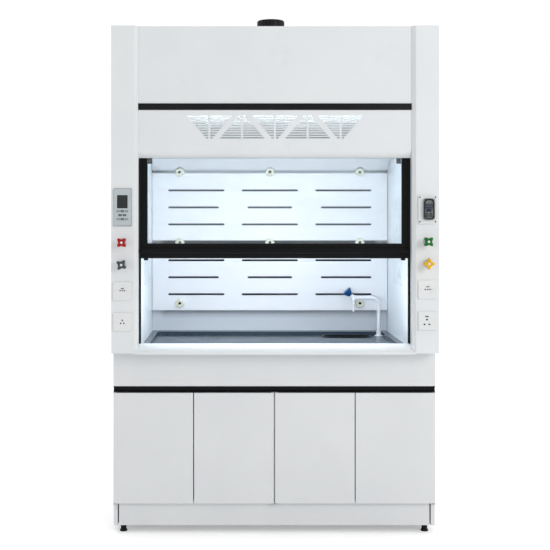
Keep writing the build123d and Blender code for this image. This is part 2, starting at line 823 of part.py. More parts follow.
def make_sash_tracks():
    """Two channels for the sash, two for the counterweight and the two stop blocks under the lintel."""
    z = (sill_top + 1, hood_height - track_top_gap)
    track = slab((track_inner, track_outer), (track_front, track_back), z)
    channel = (track_front + track_wall, track_back - track_wall)
    track -= slab((track_inner - 1, track_outer - track_wall), channel, (z[0] - 1, z[1] + 1))
    guide_back = back_panel_depth
    guide_front = chamber_back_depth + liner
    guide_x = (weight_half - track_lap / 2, weight_half + track_end_gap + track_wall)
    guide = slab(guide_x, (guide_front, guide_back), (worktop_top, ceiling_height))
    channel = (guide_front + track_wall, guide_back - track_wall)
    guide -= slab((guide_x[0] - 1, guide_x[1] - track_wall), channel, (worktop_top - 1, ceiling_height + 1))
    block_x = chamber_half - stop_block_inset
    block_back = lintel_depth + sheet
    block = slab((block_x, block_x + stop_block_width), (block_back - stop_block_depth, block_back),
                 (lintel_bottom - stop_block_height, lintel_bottom))
    return both_sides(track) + both_sides(guide) + both_sides(block)


def sash_glass_slab():
    x = sash_half - sash_rail + glass_bite
    middle = sash_depth + sash_thickness / 2
    depth = (middle - glass_thickness / 2, middle + glass_thickness / 2)
    z = (sash_bottom + sash_bottom_rail - glass_bite, sash_top - sash_top_rail + glass_bite)
    return slab((-x, x), depth, z)


def make_sash_frame():
    frame = slab((-sash_half, sash_half), (sash_depth, sash_back), (sash_bottom, sash_top))
    corners = frame.edges().filter_by(Axis.Y).group_by(Axis.Z)[0]
    frame = chamfer(corners, sash_corner_cut)
    window_x = sash_half - sash_rail
    frame -= slab((-window_x, window_x), (sash_depth - 1, sash_back + 1),
                  (sash_bottom + sash_bottom_rail, sash_top - sash_top_rail))
    frame -= sash_glass_slab()
    handle_front = sash_depth - handle_reach
    grip = handle_height / 4
    outline = [
        (sash_depth, handle_bottom), (handle_front + grip, handle_bottom), (handle_front, handle_bottom + grip),
        (handle_front, handle_bottom + handle_height), (handle_front + grip, handle_bottom + handle_height),
        (sash_depth - grip, handle_bottom + 2 * grip), (sash_depth, handle_bottom + 2 * grip),
    ]
    x = jamb_x - handle_end_gap
    handle = side_profile(outline, (-x, x))
    past_track = slab((track_inner - track_side_gap, jamb_x), (track_front - track_side_gap, sash_depth),
                      (handle_bottom - 1, handle_bottom + handle_height + 1))
    for notch in both_sides(past_track):
        handle -= notch
    frame += handle
    lug_depth = (sash_back, front_pulley_depth - pulley_radius + cable_radius + lug_gap)
    for side in (-1, 1):
        centre = side * cable_half_spacing
        lug_x = (centre - lug_size / 2, centre + lug_size / 2)
        frame += slab(lug_x, lug_depth, (lug_height - lug_size, lug_height))
    bumpers = []
    for side in (-1, 1):
        centre = side * (sash_half - bumper_inset)
        bumper_x = (centre - bumper_width / 2, centre + bumper_width / 2)
        depth = (sash_depth + bumper_setback, sash_back - bumper_setback)
        bumpers.append(slab(bumper_x, depth, (sash_bottom - bumper_height, sash_bottom)))
    return [frame] + bumpers


def weight_slab(sash_mass):
    area = 2 * weight_half * weight_thickness
    height = sash_mass / (weight_density * area)
    front = chamber_back_depth + liner + 2 * weight_gap
    depth = (front, front + weight_thickness)
    return slab((-weight_half, weight_half), depth, (weight_bottom, weight_bottom + height))


def upright_cables(depth, z):
    cables = []
    for side in (-1, 1):
        start = (side * cable_half_spacing, front_y + depth, z[0])
        cables.append(rod(start, (0, 0, 1), cable_radius, z[1] - z[0]))
    return cables


def make_top_cables():
    """From the front of the front pulley, over both pulleys, to the back of the rear one."""
    cables = []
    front = front_y + front_pulley_depth
    rear = front_y + rear_pulley_depth
    for side in (-1, 1):
        start = Line((front, pulley_height + pulley_radius), (rear, pulley_height + pulley_radius))
        first = CenterArc((front, pulley_height), pulley_radius, 180, -90)
        last = CenterArc((rear, pulley_height), pulley_radius, 90, -90)
        path = Wire([first.edge(), start.edge(), last.edge()])
        path = Pos(side * cable_half_spacing, 0, 0) * (Plane.YZ * path)
        section = Plane(origin=path @ 0, z_dir=path % 0) * Circle(cable_radius)
        cables.append(sweep(section, path=path))
    return cables


def make_pulleys(depth):
    """Two grooved pulleys on one cross shaft."""
    centre = (front_y + depth, pulley_height)
    pair = rod((-cable_half_spacing - pulley_width, *centre), (1, 0, 0), shaft_radius,
               2 * (cable_half_spacing + pulley_width))
    outer = pulley_radius + pulley_flange
    groove_half = cable_radius + groove_side_gap
    rim_half = pulley_width / 2
    outline = Polyline(
        (-rim_half, 0), (-rim_half, outer), (-groove_half - flange_taper, outer), (-groove_half, pulley_groove),
        (groove_half, pulley_groove), (groove_half + flange_taper, outer), (rim_half, outer),
        (rim_half, 0), close=True)
    pulley = revolve(make_face(outline), axis=Axis.X)
    for side in (-1, 1):
        pair += Pos(side * cable_half_spacing, *centre) * pulley
    return pair


def make_pulley_brackets():
    """Four stirrups on the ceiling sheet that carry the two cross shafts."""
    pieces = []
    base = ceiling_height + sheet
    inner = pulley_width / 2 + bracket_side_gap
    top = pulley_height + bracket_half
    for depth in (front_pulley_depth, rear_pulley_depth):
        foot_back = min(depth + bracket_half, chamber_back_depth + liner)
        for side in (-1, 1):
            centre = side * cable_half_spacing
            ear_x = centre - side * inner
            ears = sorted((ear_x, ear_x - side * bracket_ear))
            stirrup = slab((min(ears[0], centre), max(ears[1], centre)), (depth - bracket_half, foot_back),
                           (base, base + bracket_ear))
            stirrup += slab(ears, (depth - bracket_half, depth + bracket_half), (base, top))
            bore = rod((ears[0] - 1, front_y + depth, pulley_height), (1, 0, 0), shaft_radius + shaft_clearance,
                       bracket_ear + 2)
            pieces.append(stirrup - bore)
    return pieces


def baffle_knob_places():
    top, middle, bottom = knob_heights
    places = [(x, z) for z in (top, middle) for x in (-knob_column, 0, knob_column)]
    return places + [(-knob_column, bottom), (knob_column, bottom)]


def baffle_slots(rows):
    """Long slots: a middle one and two outer ones per row; each row is (height, middle, outer) in spans."""
    slots = []
    plane = Plane(origin=(0, front_y + baffle_depth - 1, 0), x_dir=(1, 0, 0), z_dir=(0, -1, 0))
    for z, middle_half, outer_start, outer_end in rows:
        spans = [(-middle_half, middle_half), (outer_start, outer_end), (-outer_end, -outer_start)]
        for low, high in spans:
            slot = Pos((low + high) / 2, z) * SlotOverall(high - low, slot_height)
            slots.append(extrude(plane * slot, amount=-(baffle_thickness + 2)))
    return Compound(children=slots)


def make_baffle(z, first_row):
    x = chamber_half - baffle_side_gap
    panel = slab((-x, x), (baffle_depth, baffle_depth + baffle_thickness), z)
    rows = []
    for index, spans in enumerate((long_row, short_row, long_row)):
        rows.append((first_row - index * baffle_row_pitch, *spans))
    panel -= baffle_slots(rows)
    for knob_x, knob_z in baffle_knob_places():
        if z[0] < knob_z < z[1]:
            panel -= front_disc(knob_x, knob_z, baffle_depth - 1, stud_radius, baffle_thickness + 2)
    return panel


def make_top_baffle():
    top = top_baffle_start + top_baffle_rise * top_baffle_run
    slope = math.hypot(1, top_baffle_rise)
    lift = baffle_thickness * slope
    front = baffle_depth - top_baffle_run
    outline = [(baffle_depth, top_baffle_start), (front, top), (front, top + lift)]
    outline.append((baffle_depth, top_baffle_start + lift))
    x = chamber_half - baffle_side_gap
    panel = side_profile(outline, (-x, x))
    for knob_x, knob_z in baffle_knob_places():
        if knob_z > upper_baffle_top:
            reach = top_baffle_run + baffle_thickness
            panel -= front_disc(knob_x, knob_z, front, baffle_knob_radius + 2, reach)
    return panel


def make_baffle_knobs():
    """Lobed nuts on the front of the baffles, and the spacer studs that hold the baffles off the wall."""
    pieces = []
    for x, z in baffle_knob_places():
        front = baffle_depth - baffle_knob_thickness
        knob = front_disc(x, z, front, baffle_knob_waist, baffle_knob_thickness)
        lobe_at = baffle_knob_radius - lobe_radius
        for index in range(baffle_knob_lobes):
            angle = math.radians(index * 360 / baffle_knob_lobes)
            lobe_x = x + lobe_at * math.cos(angle)
            lobe_z = z + lobe_at * math.sin(angle)
            lobe_front = front + lobe_setback
            knob += front_disc(lobe_x, lobe_z, lobe_front, lobe_radius, baffle_depth - lobe_front)
        knob -= front_disc(x, z, front - 1, stud_radius, baffle_knob_thickness + 2)
        stud_front = front + stud_setback
        stud = front_disc(x, z, stud_front, stud_radius, chamber_back_depth + liner - stud_front)
        spacer = baffle_depth + baffle_thickness
        stud += front_disc(x, z, spacer, spacer_radius, chamber_back_depth - spacer)
        pieces += [knob, stud]
    return pieces


def make_controller():
    centre_z = controller_bottom + controller_height / 2
    bezel = front_plate(controller_x, centre_z, (controller_width, controller_height), -controller_thickness,
                        controller_thickness, controller_corner)
    front_edges = bezel.faces().sort_by(Axis.Y)[0].edges()
    bezel = chamfer(front_edges, controller_chamfer)
    bezel -= screen_slab()
    for x, z in key_places():
        size = (key_width + key_gap, key_height + key_gap)
        bezel -= front_plate(x, z, size, -controller_thickness - 1, key_pocket + 1, key_height / 4)
    return bezel


def screen_slab():
    front = -controller_thickness
    x = (controller_x - screen_width / 2, controller_x + screen_width / 2)
    return slab(x, (front, front + screen_thickness), (screen_bottom, screen_bottom + screen_height))


def key_places():
    return [(controller_x + x, z) for z, offsets in key_rows for x in offsets]


def make_key(x, z):
    front = -controller_thickness - key_proud
    return front_plate(x, z, (key_width, key_height), front, key_length, key_height / 5)


def breaker_window(depth):
    """The way through a sheet or plate for the breaker module."""
    half = module_width / 2 + window_gap
    z = (module_bottom - window_gap, module_bottom + module_height + window_gap)
    return slab((breaker_window_x - half, breaker_window_x + half), depth, z)


def make_breaker():
    """Cover plate with its window, hinge pin and ears, and the breaker module standing in the window."""
    centre_z = breaker_bottom + breaker_height / 2
    plate = front_plate(breaker_x, centre_z, (breaker_width, breaker_height), -breaker_thickness,
                        breaker_thickness, socket_corner)
    plate = chamfer(plate.faces().sort_by(Axis.Y)[0].edges(), plate_chamfer)
    plate -= breaker_window((-breaker_thickness - 1, 1))
    pin_depth = -breaker_thickness - lid_pin_reach
    ear_start = lid_barrel_length / 2 + lid_gap
    for side in (-1, 1):
        ear = sorted((breaker_window_x + side * ear_start, breaker_window_x + side * (ear_start + ear_width)))
        plate += slab(ear, (pin_depth - lid_barrel_radius, -breaker_thickness),
                      (lid_pin_height - lid_barrel_radius, lid_pin_height + lid_barrel_radius))
    pin_start = (breaker_window_x - ear_start - ear_width, front_y + pin_depth, lid_pin_height)
    plate += rod(pin_start, (1, 0, 0), lid_pin_radius, 2 * (ear_start + ear_width))
    half = module_width / 2
    module = slab((breaker_window_x - half, breaker_window_x + half), (-module_face, socket_box_depth),
                  (module_bottom, module_bottom + module_height))
    pocket_half = toggle_width / 2 + toggle_side_gap
    pocket_start = (breaker_window_x - pocket_half, front_y - module_face + toggle_setback, toggle_height)
    pocket = rod(pocket_start, (1, 0, 0), toggle_radius + shaft_clearance, 2 * pocket_half)
    return [plate, module - pocket]


def make_breaker_cover():
    """Smoked flap with side walls, hanging from a barrel on the hinge pin."""
    pin_depth = -breaker_thickness - lid_pin_reach
    half = cover_lid_width / 2
    front = -breaker_thickness - lid_reach
    top = lid_bottom + lid_height
    shell = slab((breaker_window_x - half, breaker_window_x + half), (front, -breaker_thickness - lid_gap),
                 (lid_bottom, top))
    shell = fillet(shell.edges().filter_by(Axis.Y).group_by(Axis.Z)[0], lid_corner)
    inner = half - lid_wall
    shell -= slab((breaker_window_x - inner, breaker_window_x + inner), (front + lid_wall, 0),
                  (lid_bottom + lid_wall, top + 1))
    barrel_half = lid_barrel_length / 2
    reach = lid_barrel_radius * 2 + lid_clearance
    shell -= slab((breaker_window_x - half - 1, breaker_window_x + half + 1),
                  (pin_depth - lid_barrel_radius - lid_clearance, 0), (lid_pin_height - reach, top + 1))
    web = slab((breaker_window_x - barrel_half, breaker_window_x + barrel_half),
               (front, pin_depth), (lid_pin_height - lid_web / 2, lid_pin_height + lid_web / 2))
    barrel = rod((breaker_window_x - barrel_half, front_y + pin_depth, lid_pin_height), (1, 0, 0),
                 lid_barrel_radius, lid_barrel_length)
    bore = rod((breaker_window_x - barrel_half - 1, front_y + pin_depth, lid_pin_height), (1, 0, 0),
               lid_pin_radius + shaft_clearance, lid_barrel_length + 2)
    tab_width, tab_height, tab_reach = lid_tab
    tab_bottom = lid_bottom + lid_tab_rise
    tab = slab((breaker_window_x - tab_width / 2, breaker_window_x + tab_width / 2), (front - tab_reach, front),
               (tab_bottom, tab_bottom + tab_height))
    return shell + web + barrel + tab - bore


def make_breaker_toggle():
    half = toggle_width / 2
    axis_y = front_y - module_face + toggle_setback
    drum = rod((breaker_window_x - half, axis_y, toggle_height), (1, 0, 0), toggle_radius, toggle_width)
    tilt = math.radians(toggle_tilt)
    lever_plane = Plane(origin=(breaker_window_x, axis_y, toggle_height), x_dir=(1, 0, 0),
                        z_dir=(0, -math.cos(tilt), math.sin(tilt)))
    section = RectangleRounded(toggle_width - toggle_lever_inset, toggle_lever_thickness, toggle_lever_round)
    lever = extrude(lever_plane * section, amount=toggle_lever)
    return drum + lever


def make_sockets():
    """Four outlet plates, each with its back box and its own pattern of contact openings."""
    plates = []
    for (x, z), (_, _, _, round_face, contacts) in zip(sockets, outlets):
        face_size = (socket_size, socket_size)
        plate = front_plate(x, z, face_size, -socket_thickness, socket_thickness, socket_corner)
        plate = chamfer(plate.faces().sort_by(Axis.Y)[0].edges(), plate_chamfer)
        plate += front_plate(x, z, (socket_box, socket_box), 0, socket_box_depth, socket_corner)
        if round_face:
            plate -= front_disc(x, z, -socket_thickness - 1, socket_face_radius, 1 + socket_face_recess)
        plane = Plane(origin=(x, front_y - socket_thickness - 1, z), x_dir=(1, 0, 0), z_dir=(0, -1, 0))
        for across, up, width, height in contacts:
            opening = Pos(across, up) * Rectangle(width, height)
            plate -= extrude(plane * opening, amount=-contact_depth)
        plates.append(plate)
    return plates


def make_valve_bodies():
    """Rosette, bonnet and stem in front of the post; body and pipe tail behind it."""
    bodies = []
    for x, z in valves.values():
        body = front_disc(x, z, -rosette_thickness, rosette_radius, rosette_thickness)
        body += front_disc(x, z, -bonnet_reach, bonnet_radius, bonnet_reach)
        body += front_disc(x, z, 0, valve_body_radius, valve_body_depth)
        stem_front = valve_stem_short - knob_reach
        body += front_disc(x, z, stem_front, valve_stem_radius, -stem_front)
        tail_top = (x, front_y + valve_body_depth - valve_body_radius, z)
        body += rod(tail_top, (0, 0, -1), tail_radius, tail_length)
        bodies.append(body)
    return bodies


def make_valve_knob(x, z, turned):
    """Cross-shaped knob: a hub and four rounded arms, with a blind bore for the stem."""
    front = -knob_reach
    knob = front_disc(0, 0, front, valve_hub_radius, valve_knob_height)
    arm = valve_knob_radius - valve_lobe_radius
    for index in range(valve_arms):
        angle = math.radians((index + 0.5) * 360 / valve_arms + turned)
        tip = (arm * math.cos(angle), arm * math.sin(angle))
        knob += front_disc(tip[0], tip[1], front, valve_lobe_radius, valve_knob_height)
        plane = Plane(origin=(tip[0] / 2, front_y + front, tip[1] / 2), x_dir=(1, 0, 0), z_dir=(0, -1, 0))
        bar = Rot(0, 0, math.degrees(angle)) * Rectangle(arm, 2 * (valve_lobe_radius - valve_arm_waist))
        knob += extrude(plane * bar, amount=-valve_knob_height)
    bore_front = front + valve_bore_short
    knob -= front_disc(0, 0, bore_front, valve_stem_radius + valve_stem_clearance, valve_knob_height)
    return Pos(x, 0, z) * knob


def make_tap_base():
    top = dish_level + tap_foot_height
    outline = Polyline(
        (0, dish_level), (tap_flange_radius, dish_level),
        (tap_flange_radius - tap_foot_draft, dish_level + tap_flange),
        (tap_foot_radius, dish_level + tap_flange + tap_foot_step),
        (tap_tube_radius + tap_foot_draft, top), (0, top), close=True)
    base = revolve(make_face(Plane.XZ * outline), axis=Axis.Z)
    depth = tap_spigot_length + tap_bore_extra
    base -= rod((0, 0, top - depth), (0, 0, 1), tap_spigot_radius + tap_clearance, depth + 1)
    return Pos(tap_x, front_y + tap_depth, 0) * base


def make_tap_neck():
    """Swan neck, valve body at its end and the serrated hose outlet below."""
    y = front_y + tap_depth
    start = dish_level + tap_foot_height + tap_swivel_gap
    corners = [(tap_x, start), (tap_x, tap_spout_height), (tap_outlet_x, tap_spout_height)]
    path = FilletPolyline(*corners, radius=tap_bend)
    plane = Plane(origin=(0, y, 0), x_dir=(1, 0, 0), z_dir=(0, -1, 0))
    wire = plane * path
    neck = sweep(Plane(origin=wire @ 0, z_dir=wire % 0) * Circle(tap_tube_radius), path=wire)
    neck += rod((tap_x, y, start - tap_spigot_length), (0, 0, 1), tap_spigot_radius, tap_spigot_length)
    body_bottom = tap_spout_height - tap_body_height / 2
    neck += rod((tap_outlet_x, y, body_bottom), (0, 0, 1), tap_body_radius, tap_body_height)
    outlet = [(0, nozzle_bottom)]
    for index in range(nozzle_barbs):
        barb_bottom = nozzle_bottom + index * nozzle_barb
        outlet += [(nozzle_radius - nozzle_barb_depth, barb_bottom), (nozzle_radius, barb_bottom + nozzle_barb)]
    shoulder = nozzle_bottom + nozzle_barbs * nozzle_barb
    outlet += [(nozzle_radius - nozzle_barb_depth, shoulder), (nozzle_radius + nozzle_shoulder, body_bottom),
               (0, body_bottom)]
    nozzle = revolve(make_face(Plane.XZ * Polyline(*outlet, close=True)), axis=Axis.Z)
    neck += Pos(tap_outlet_x, y, 0) * nozzle
    neck -= rod((tap_outlet_x, y, nozzle_bottom - 1), (0, 0, 1), nozzle_bore, body_bottom - nozzle_bottom)
    lean = math.radians(tap_knob_tilt)
    direction = (-math.sin(lean), 0, math.cos(lean))
    centre = (tap_outlet_x, y, tap_spout_height)
    neck += rod(centre, direction, tap_stem_radius, tap_stem_length)
    neck += rod(centre, direction, tap_knob_narrow - tap_bonnet_step, tap_knob_start - tap_bonnet_gap)
    return neck


def make_tap_handle():
    """Conical knob, wide end outwards, on the leaning stem."""
    lean = math.radians(tap_knob_tilt)
    direction = (-math.sin(lean), 0, math.cos(lean))
    knob_end = tap_knob_start + tap_knob_length
    outline = Polyline(
        (0, tap_knob_start), (tap_knob_narrow, tap_knob_start),
        (tap_knob_wide, knob_end - tap_knob_edge), (tap_knob_wide - tap_knob_round, knob_end), (0, knob_end),
        close=True)
    knob = revolve(make_face(Plane.XZ * outline), axis=Axis.Z)
    knob -= rod((0, 0, 0), (0, 0, 1), tap_stem_radius + tap_clearance, tap_stem_length + tap_bore_extra)
    centre = (tap_outlet_x, front_y + tap_depth, tap_spout_height)
    place = Plane(origin=centre, x_dir=(math.cos(lean), 0, math.sin(lean)), z_dir=direction).location
    return place * knob


write("base_carcass", make_carcass())
write("kick_plate", make_kick_plate())
fascia_height = (pull_rail_bottom + pull_rail_height, fascia_top)
write("fascia_panel", slab((-half_width, half_width), (base_setback, carcass_front), fascia_height))
write("pull_rail", make_pull_rail())
write("door_pivots", make_door_pivots())
for index, place in enumerate(door_places()):
    write(f"door_{index + 1}", make_door(*place))
write("levelling_legs", make_legs())
write("worktop", make_worktop())
write("cup_sink", make_sink())

left_cutouts = [valve_hole("red"), valve_hole("grey")]
right_cutouts = [valve_hole("green"), valve_hole("yellow"), breaker_window((-1, sheet + 1))]
for x, z in sockets:
    cutouts = left_cutouts if x < 0 else right_cutouts
    cutouts.append(socket_hole(x, z))
write("post_left", make_post(-1, left_cutouts))
write("post_right", make_post(1, right_cutouts))
write("outer_panels", make_outer_panels())
write("chamber_walls", make_chamber_walls())
write("access_covers", make_access_covers())
write("ceiling_liner", make_ceiling())
write("lamp_window", make_lamp_window())
write("exhaust_collar", make_exhaust_collar())
write("header_upper", make_header_upper())
write("header_trim", make_header_trim())
write("header_lower", make_header_lower())
write("sill", make_sill())
write("sash_tracks", make_sash_tracks())

sash_frame = make_sash_frame()
sash_glass = sash_glass_slab()
sash_mass = sash_glass.volume * glass_density + sum(piece.volume for piece in sash_frame) * sash_density
counterweight = weight_slab(sash_mass)
write("sash_frame", sash_frame)
write("sash_glass", sash_glass)
write("counterweight", counterweight)
write("front_pulleys", make_pulleys(front_pulley_depth))
write("rear_pulleys", make_pulleys(rear_pulley_depth))
write("pulley_brackets", make_pulley_brackets())
write("sash_cables_top", make_top_cables())
write("sash_cables_front", upright_cables(front_pulley_depth - pulley_radius, (lug_height, pulley_height)))
weight_top = counterweight.bounding_box().max.Z
write("sash_cables_rear", upright_cables(rear_pulley_depth + pulley_radius, (weight_top, pulley_height)))

write("baffle_upper", make_baffle((upper_baffle_bottom, upper_baffle_top), upper_first_row))
write("baffle_lower", make_baffle((lower_baffle_bottom, lower_baffle_top), lower_first_row))
write("baffle_top", make_top_baffle())
write("baffle_knobs", make_baffle_knobs())

write("controller_bezel", make_controller())
write("controller_screen", screen_slab())
for index, place in enumerate(key_places()):
    write(f"controller_key_{index + 1}", make_key(*place))
write("breaker_box", make_breaker())
write("breaker_cover", make_breaker_cover())
write("breaker_toggle", make_breaker_toggle())
write("socket_outlets", make_sockets())
write("valve_bodies", make_valve_bodies())
for name, (x, z) in valves.items():
    write(f"valve_knob_{name}", make_valve_knob(x, z, valve_turned.get(name, 0.0)))
write("tap_base", make_tap_base())
write("tap_neck", make_tap_neck())
write("tap_handle", make_tap_handle())
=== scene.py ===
import json
import math
import bmesh
import bpy
import numpy as np
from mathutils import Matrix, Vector


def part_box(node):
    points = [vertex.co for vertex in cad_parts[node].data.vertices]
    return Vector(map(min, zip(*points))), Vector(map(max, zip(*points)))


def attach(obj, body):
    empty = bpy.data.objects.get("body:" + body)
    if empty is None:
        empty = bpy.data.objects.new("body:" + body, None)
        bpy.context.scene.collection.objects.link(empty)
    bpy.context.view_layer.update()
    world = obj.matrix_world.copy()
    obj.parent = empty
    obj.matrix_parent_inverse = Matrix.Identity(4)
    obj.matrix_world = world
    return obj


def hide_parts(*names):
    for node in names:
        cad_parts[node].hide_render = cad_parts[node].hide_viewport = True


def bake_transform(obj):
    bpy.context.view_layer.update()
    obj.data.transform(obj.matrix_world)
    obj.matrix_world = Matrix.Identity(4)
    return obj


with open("model.json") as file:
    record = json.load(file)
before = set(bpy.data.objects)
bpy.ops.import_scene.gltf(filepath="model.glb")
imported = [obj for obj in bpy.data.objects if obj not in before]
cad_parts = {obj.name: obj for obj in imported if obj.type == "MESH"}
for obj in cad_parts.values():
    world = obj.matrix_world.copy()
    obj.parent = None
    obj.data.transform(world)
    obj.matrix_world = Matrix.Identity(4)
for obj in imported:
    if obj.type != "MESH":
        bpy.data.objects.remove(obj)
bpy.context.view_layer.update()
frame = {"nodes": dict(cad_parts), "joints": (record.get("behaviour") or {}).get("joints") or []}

mm = 0.001
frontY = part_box("post_left")[0].y  # front faces of the posts
print("stage: frame loaded")

cameraValues = {"lens": 70.3, "back": 4.911, "side": -0.1856, "height": 1.451,
                "shiftX": 0.0736, "shiftY": -0.0964}
lightValues = {
    "ambient": 1.04, "frontLeft": (0.46, 0.47, 0.48), "frontRight": (0.56, 0.555, 0.55),
    "keyPower": 90.0, "keySize": 2.4, "keyPlace": (3.6, -4.4, 2.9),
    "fillPower": 24.0, "fillSize": 2.6, "fillPlace": (-3.8, -4.4, 1.8),
    "lampPower": 4.1, "lampColour": (0.82, 0.92, 1.0),
    "openingPower": 3.0, "openingColour": (0.86, 0.93, 1.0),
    "bypassPower": 1.0, "bypassColour": (0.93, 0.97, 1.0), "plenumPower": 0.12,
    "lampLength": 1.15, "openingLength": 1.1, "bypassLength": 1.0, "plenumLength": 1.1,
}
floorValues = {"half": 12.0, "colour": (0.88, 0.88, 0.88), "nearGlow": 0.34, "farGlow": 0.45}


def makeObject(name, vertices, faces, smooth=True, mergeGap=2e-6):
    mesh = bpy.data.meshes.new(name)
    mesh.from_pydata(vertices.reshape(-1, 3).tolist(), [], faces)
    work = bmesh.new()
    work.from_mesh(mesh)
    bmesh.ops.remove_doubles(work, verts=work.verts, dist=mergeGap)
    bmesh.ops.dissolve_degenerate(work, edges=work.edges, dist=mergeGap / 2)
    bmesh.ops.recalc_face_normals(work, faces=work.faces)
    work.to_mesh(mesh)
    work.free()
    mesh.polygons.foreach_set("use_smooth", np.full(len(mesh.polygons), smooth))
    piece = bpy.data.objects.new(name, mesh)
    bpy.context.scene.collection.objects.link(piece)
    return piece


def gridFaces(rows, columns, wrapRows=False, start=0):  # quads between neighbours, columns close into a ring
    index = np.arange(rows * columns).reshape(rows, columns) + start
    below = np.vstack([index, index[:1]]) if wrapRows else index
    here, above = below[:-1], below[1:]
    quads = np.stack([here, np.roll(here, -1, 1), np.roll(above, -1, 1), above], axis=-1)
    return quads.reshape(-1, 4)


def axisBasis(axis):  # three unit columns: two across the axis and the axis itself
    along = np.array(axis, float) / np.linalg.norm(axis)
    helper = np.array([0.0, 0.0, 1.0]) if abs(along[2]) < 0.9 else np.array([0.0, 1.0, 0.0])
    across = np.cross(helper, along)
    across /= np.linalg.norm(across)
    return np.stack([across, np.cross(along, across), along], axis=1)


def turnedGrid(profile, columns=64, ripple=None):
    # x = r cos a, y = r sin a, z = height, where r = radius(row) + lobe(row) * ripple(a)
    profile = np.array(profile, float) * mm
    angle = np.linspace(0, 2 * math.pi, columns, endpoint=False)
    radius = profile[:, :1] * np.ones(columns)
    if ripple is not None:
        radius = radius + profile[:, 2:3] / mm * ripple(angle) * mm
    return np.stack([radius * np.cos(angle), radius * np.sin(angle), profile[:, 1:2] * np.ones(columns)], axis=-1)


def placedCopies(name, grid, centres, axis=(0, 0, 1), wrapRows=False, smooth=True):
    # point = centre + basis(axis) * grid point, for every centre, as one mesh with closed ends
    rows, columns = grid.shape[:2]
    turned = grid @ axisBasis(axis).T
    centres = np.array(centres, float).reshape(-1, 1, 1, 3)
    points = centres + turned
    faces = []
    for number in range(len(centres)):
        start = number * rows * columns
        faces += gridFaces(rows, columns, wrapRows, start).tolist()
        if not wrapRows:
            faces.append(list(range(start, start + columns))[::-1])
            faces.append(list(range(start + (rows - 1) * columns, start + rows * columns)))
    return makeObject(name, points, faces, smooth)


def blockPoints(low, high):
    low, high = np.array(low, float), np.array(high, float)
    corners = np.array([[0, 0, 0], [1, 0, 0], [1, 1, 0], [0, 1, 0], [0, 0, 1], [1, 0, 1], [1, 1, 1], [0, 1, 1]])
    return low + corners * (high - low)


def blocks(name, boxes, rounding=0.0, segments=2):  # straight blocks in one mesh, edges rounded by a bevel
    faces, points = [], []
    sides = np.array([[0, 3, 2, 1], [4, 5, 6, 7], [0, 1, 5, 4], [1, 2, 6, 5], [2, 3, 7, 6], [3, 0, 4, 7]])
    for number, (low, high) in enumerate(boxes):
        points.append(blockPoints(low, high))
        faces += (sides + 8 * number).tolist()
    piece = makeObject(name, np.concatenate(points), faces, smooth=True, mergeGap=1e-7)
    roundEdges(piece, rounding, segments)
    return piece


def roundEdges(piece, width, segments=2, angle=32.0):
    if width <= 0:
        return
    # bevel strips on every edge sharper than the angle; wide faces keep their own normals
    bevel = piece.modifiers.new("roundedEdges", "BEVEL")
    bevel.width = width
    bevel.segments = segments
    bevel.limit_method = "ANGLE"
    bevel.angle_limit = math.radians(angle)
    bevel.use_clamp_overlap = False
    bevel.miter_outer = "MITER_ARC"
    weighted = piece.modifiers.new("flatFaces", "WEIGHTED_NORMAL")
    weighted.weight = 100
    weighted.keep_sharp = True


def settle(piece, material, body, slot, *replaced):  # finish, body, record slot (not used) and the nodes it stands for
    piece.data.materials.clear()
    piece.data.materials.append(material)
    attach(piece, body)
    if replaced:
        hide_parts(*replaced)
    return piece


def finishNode(node, width, segments=2, angle=32.0):
    # a copy of a CAD node, its triangles joined into whole faces and its edges rounded, or left flat at width 0
    work = bmesh.new()
    work.from_mesh(frame["nodes"][node].data)
    bmesh.ops.remove_doubles(work, verts=work.verts, dist=4e-6)
    bmesh.ops.dissolve_limit(work, angle_limit=math.radians(0.4), verts=work.verts, edges=work.edges,
                             delimit={"NORMAL"})
    mesh = bpy.data.meshes.new("finished_" + node)
    work.to_mesh(mesh)
    work.free()
    mesh.polygons.foreach_set("use_smooth", np.full(len(mesh.polygons), width > 0))
    piece = bpy.data.objects.new("finished_" + node, mesh)
    bpy.context.scene.collection.objects.link(piece)
    roundEdges(piece, width * mm, segments, angle)
    return piece


def shaderTree(name):
    material = bpy.data.materials.new(name)
    material.use_nodes = True
    tree = material.node_tree
    return material, tree, tree.nodes["Principled BSDF"]


def node(tree, kind, **settings):
    made = tree.nodes.new(kind)
    for key, value in settings.items():
        setattr(made, key, value)
    return made


def noiseFrom(tree, place, scale, detail=3.0, roughness=0.55, stretch=(1, 1, 1)):
    mapping = node(tree, "ShaderNodeMapping")
    mapping.inputs["Scale"].default_value = stretch
    tree.links.new(place, mapping.inputs["Vector"])
    noise = node(tree, "ShaderNodeTexNoise")
    noise.inputs["Scale"].default_value = scale
    noise.inputs["Detail"].default_value = detail
    noise.inputs["Roughness"].default_value = roughness
    tree.links.new(mapping.outputs[0], noise.inputs["Vector"])
    return noise.outputs["Fac"]


def remap(tree, value, low, high, fromLow=0.3, fromHigh=0.7):
    span = node(tree, "ShaderNodeMapRange", clamp=True)
    span.inputs["From Min"].default_value = fromLow
    span.inputs["From Max"].default_value = fromHigh
    span.inputs["To Min"].default_value = low
    span.inputs["To Max"].default_value = high
    tree.links.new(value, span.inputs["Value"])
    return span.outputs["Result"]


def mixColours(tree, factor, first, second):
    mix = node(tree, "ShaderNodeMix", data_type="RGBA")
    tree.links.new(factor, mix.inputs["Factor"])
    for socket, value in ((mix.inputs[6], first), (mix.inputs[7], second)):
        if isinstance(value, tuple):
            socket.default_value = (*value, 1.0)
        else:
            tree.links.new(value, socket)
    return mix.outputs[2]


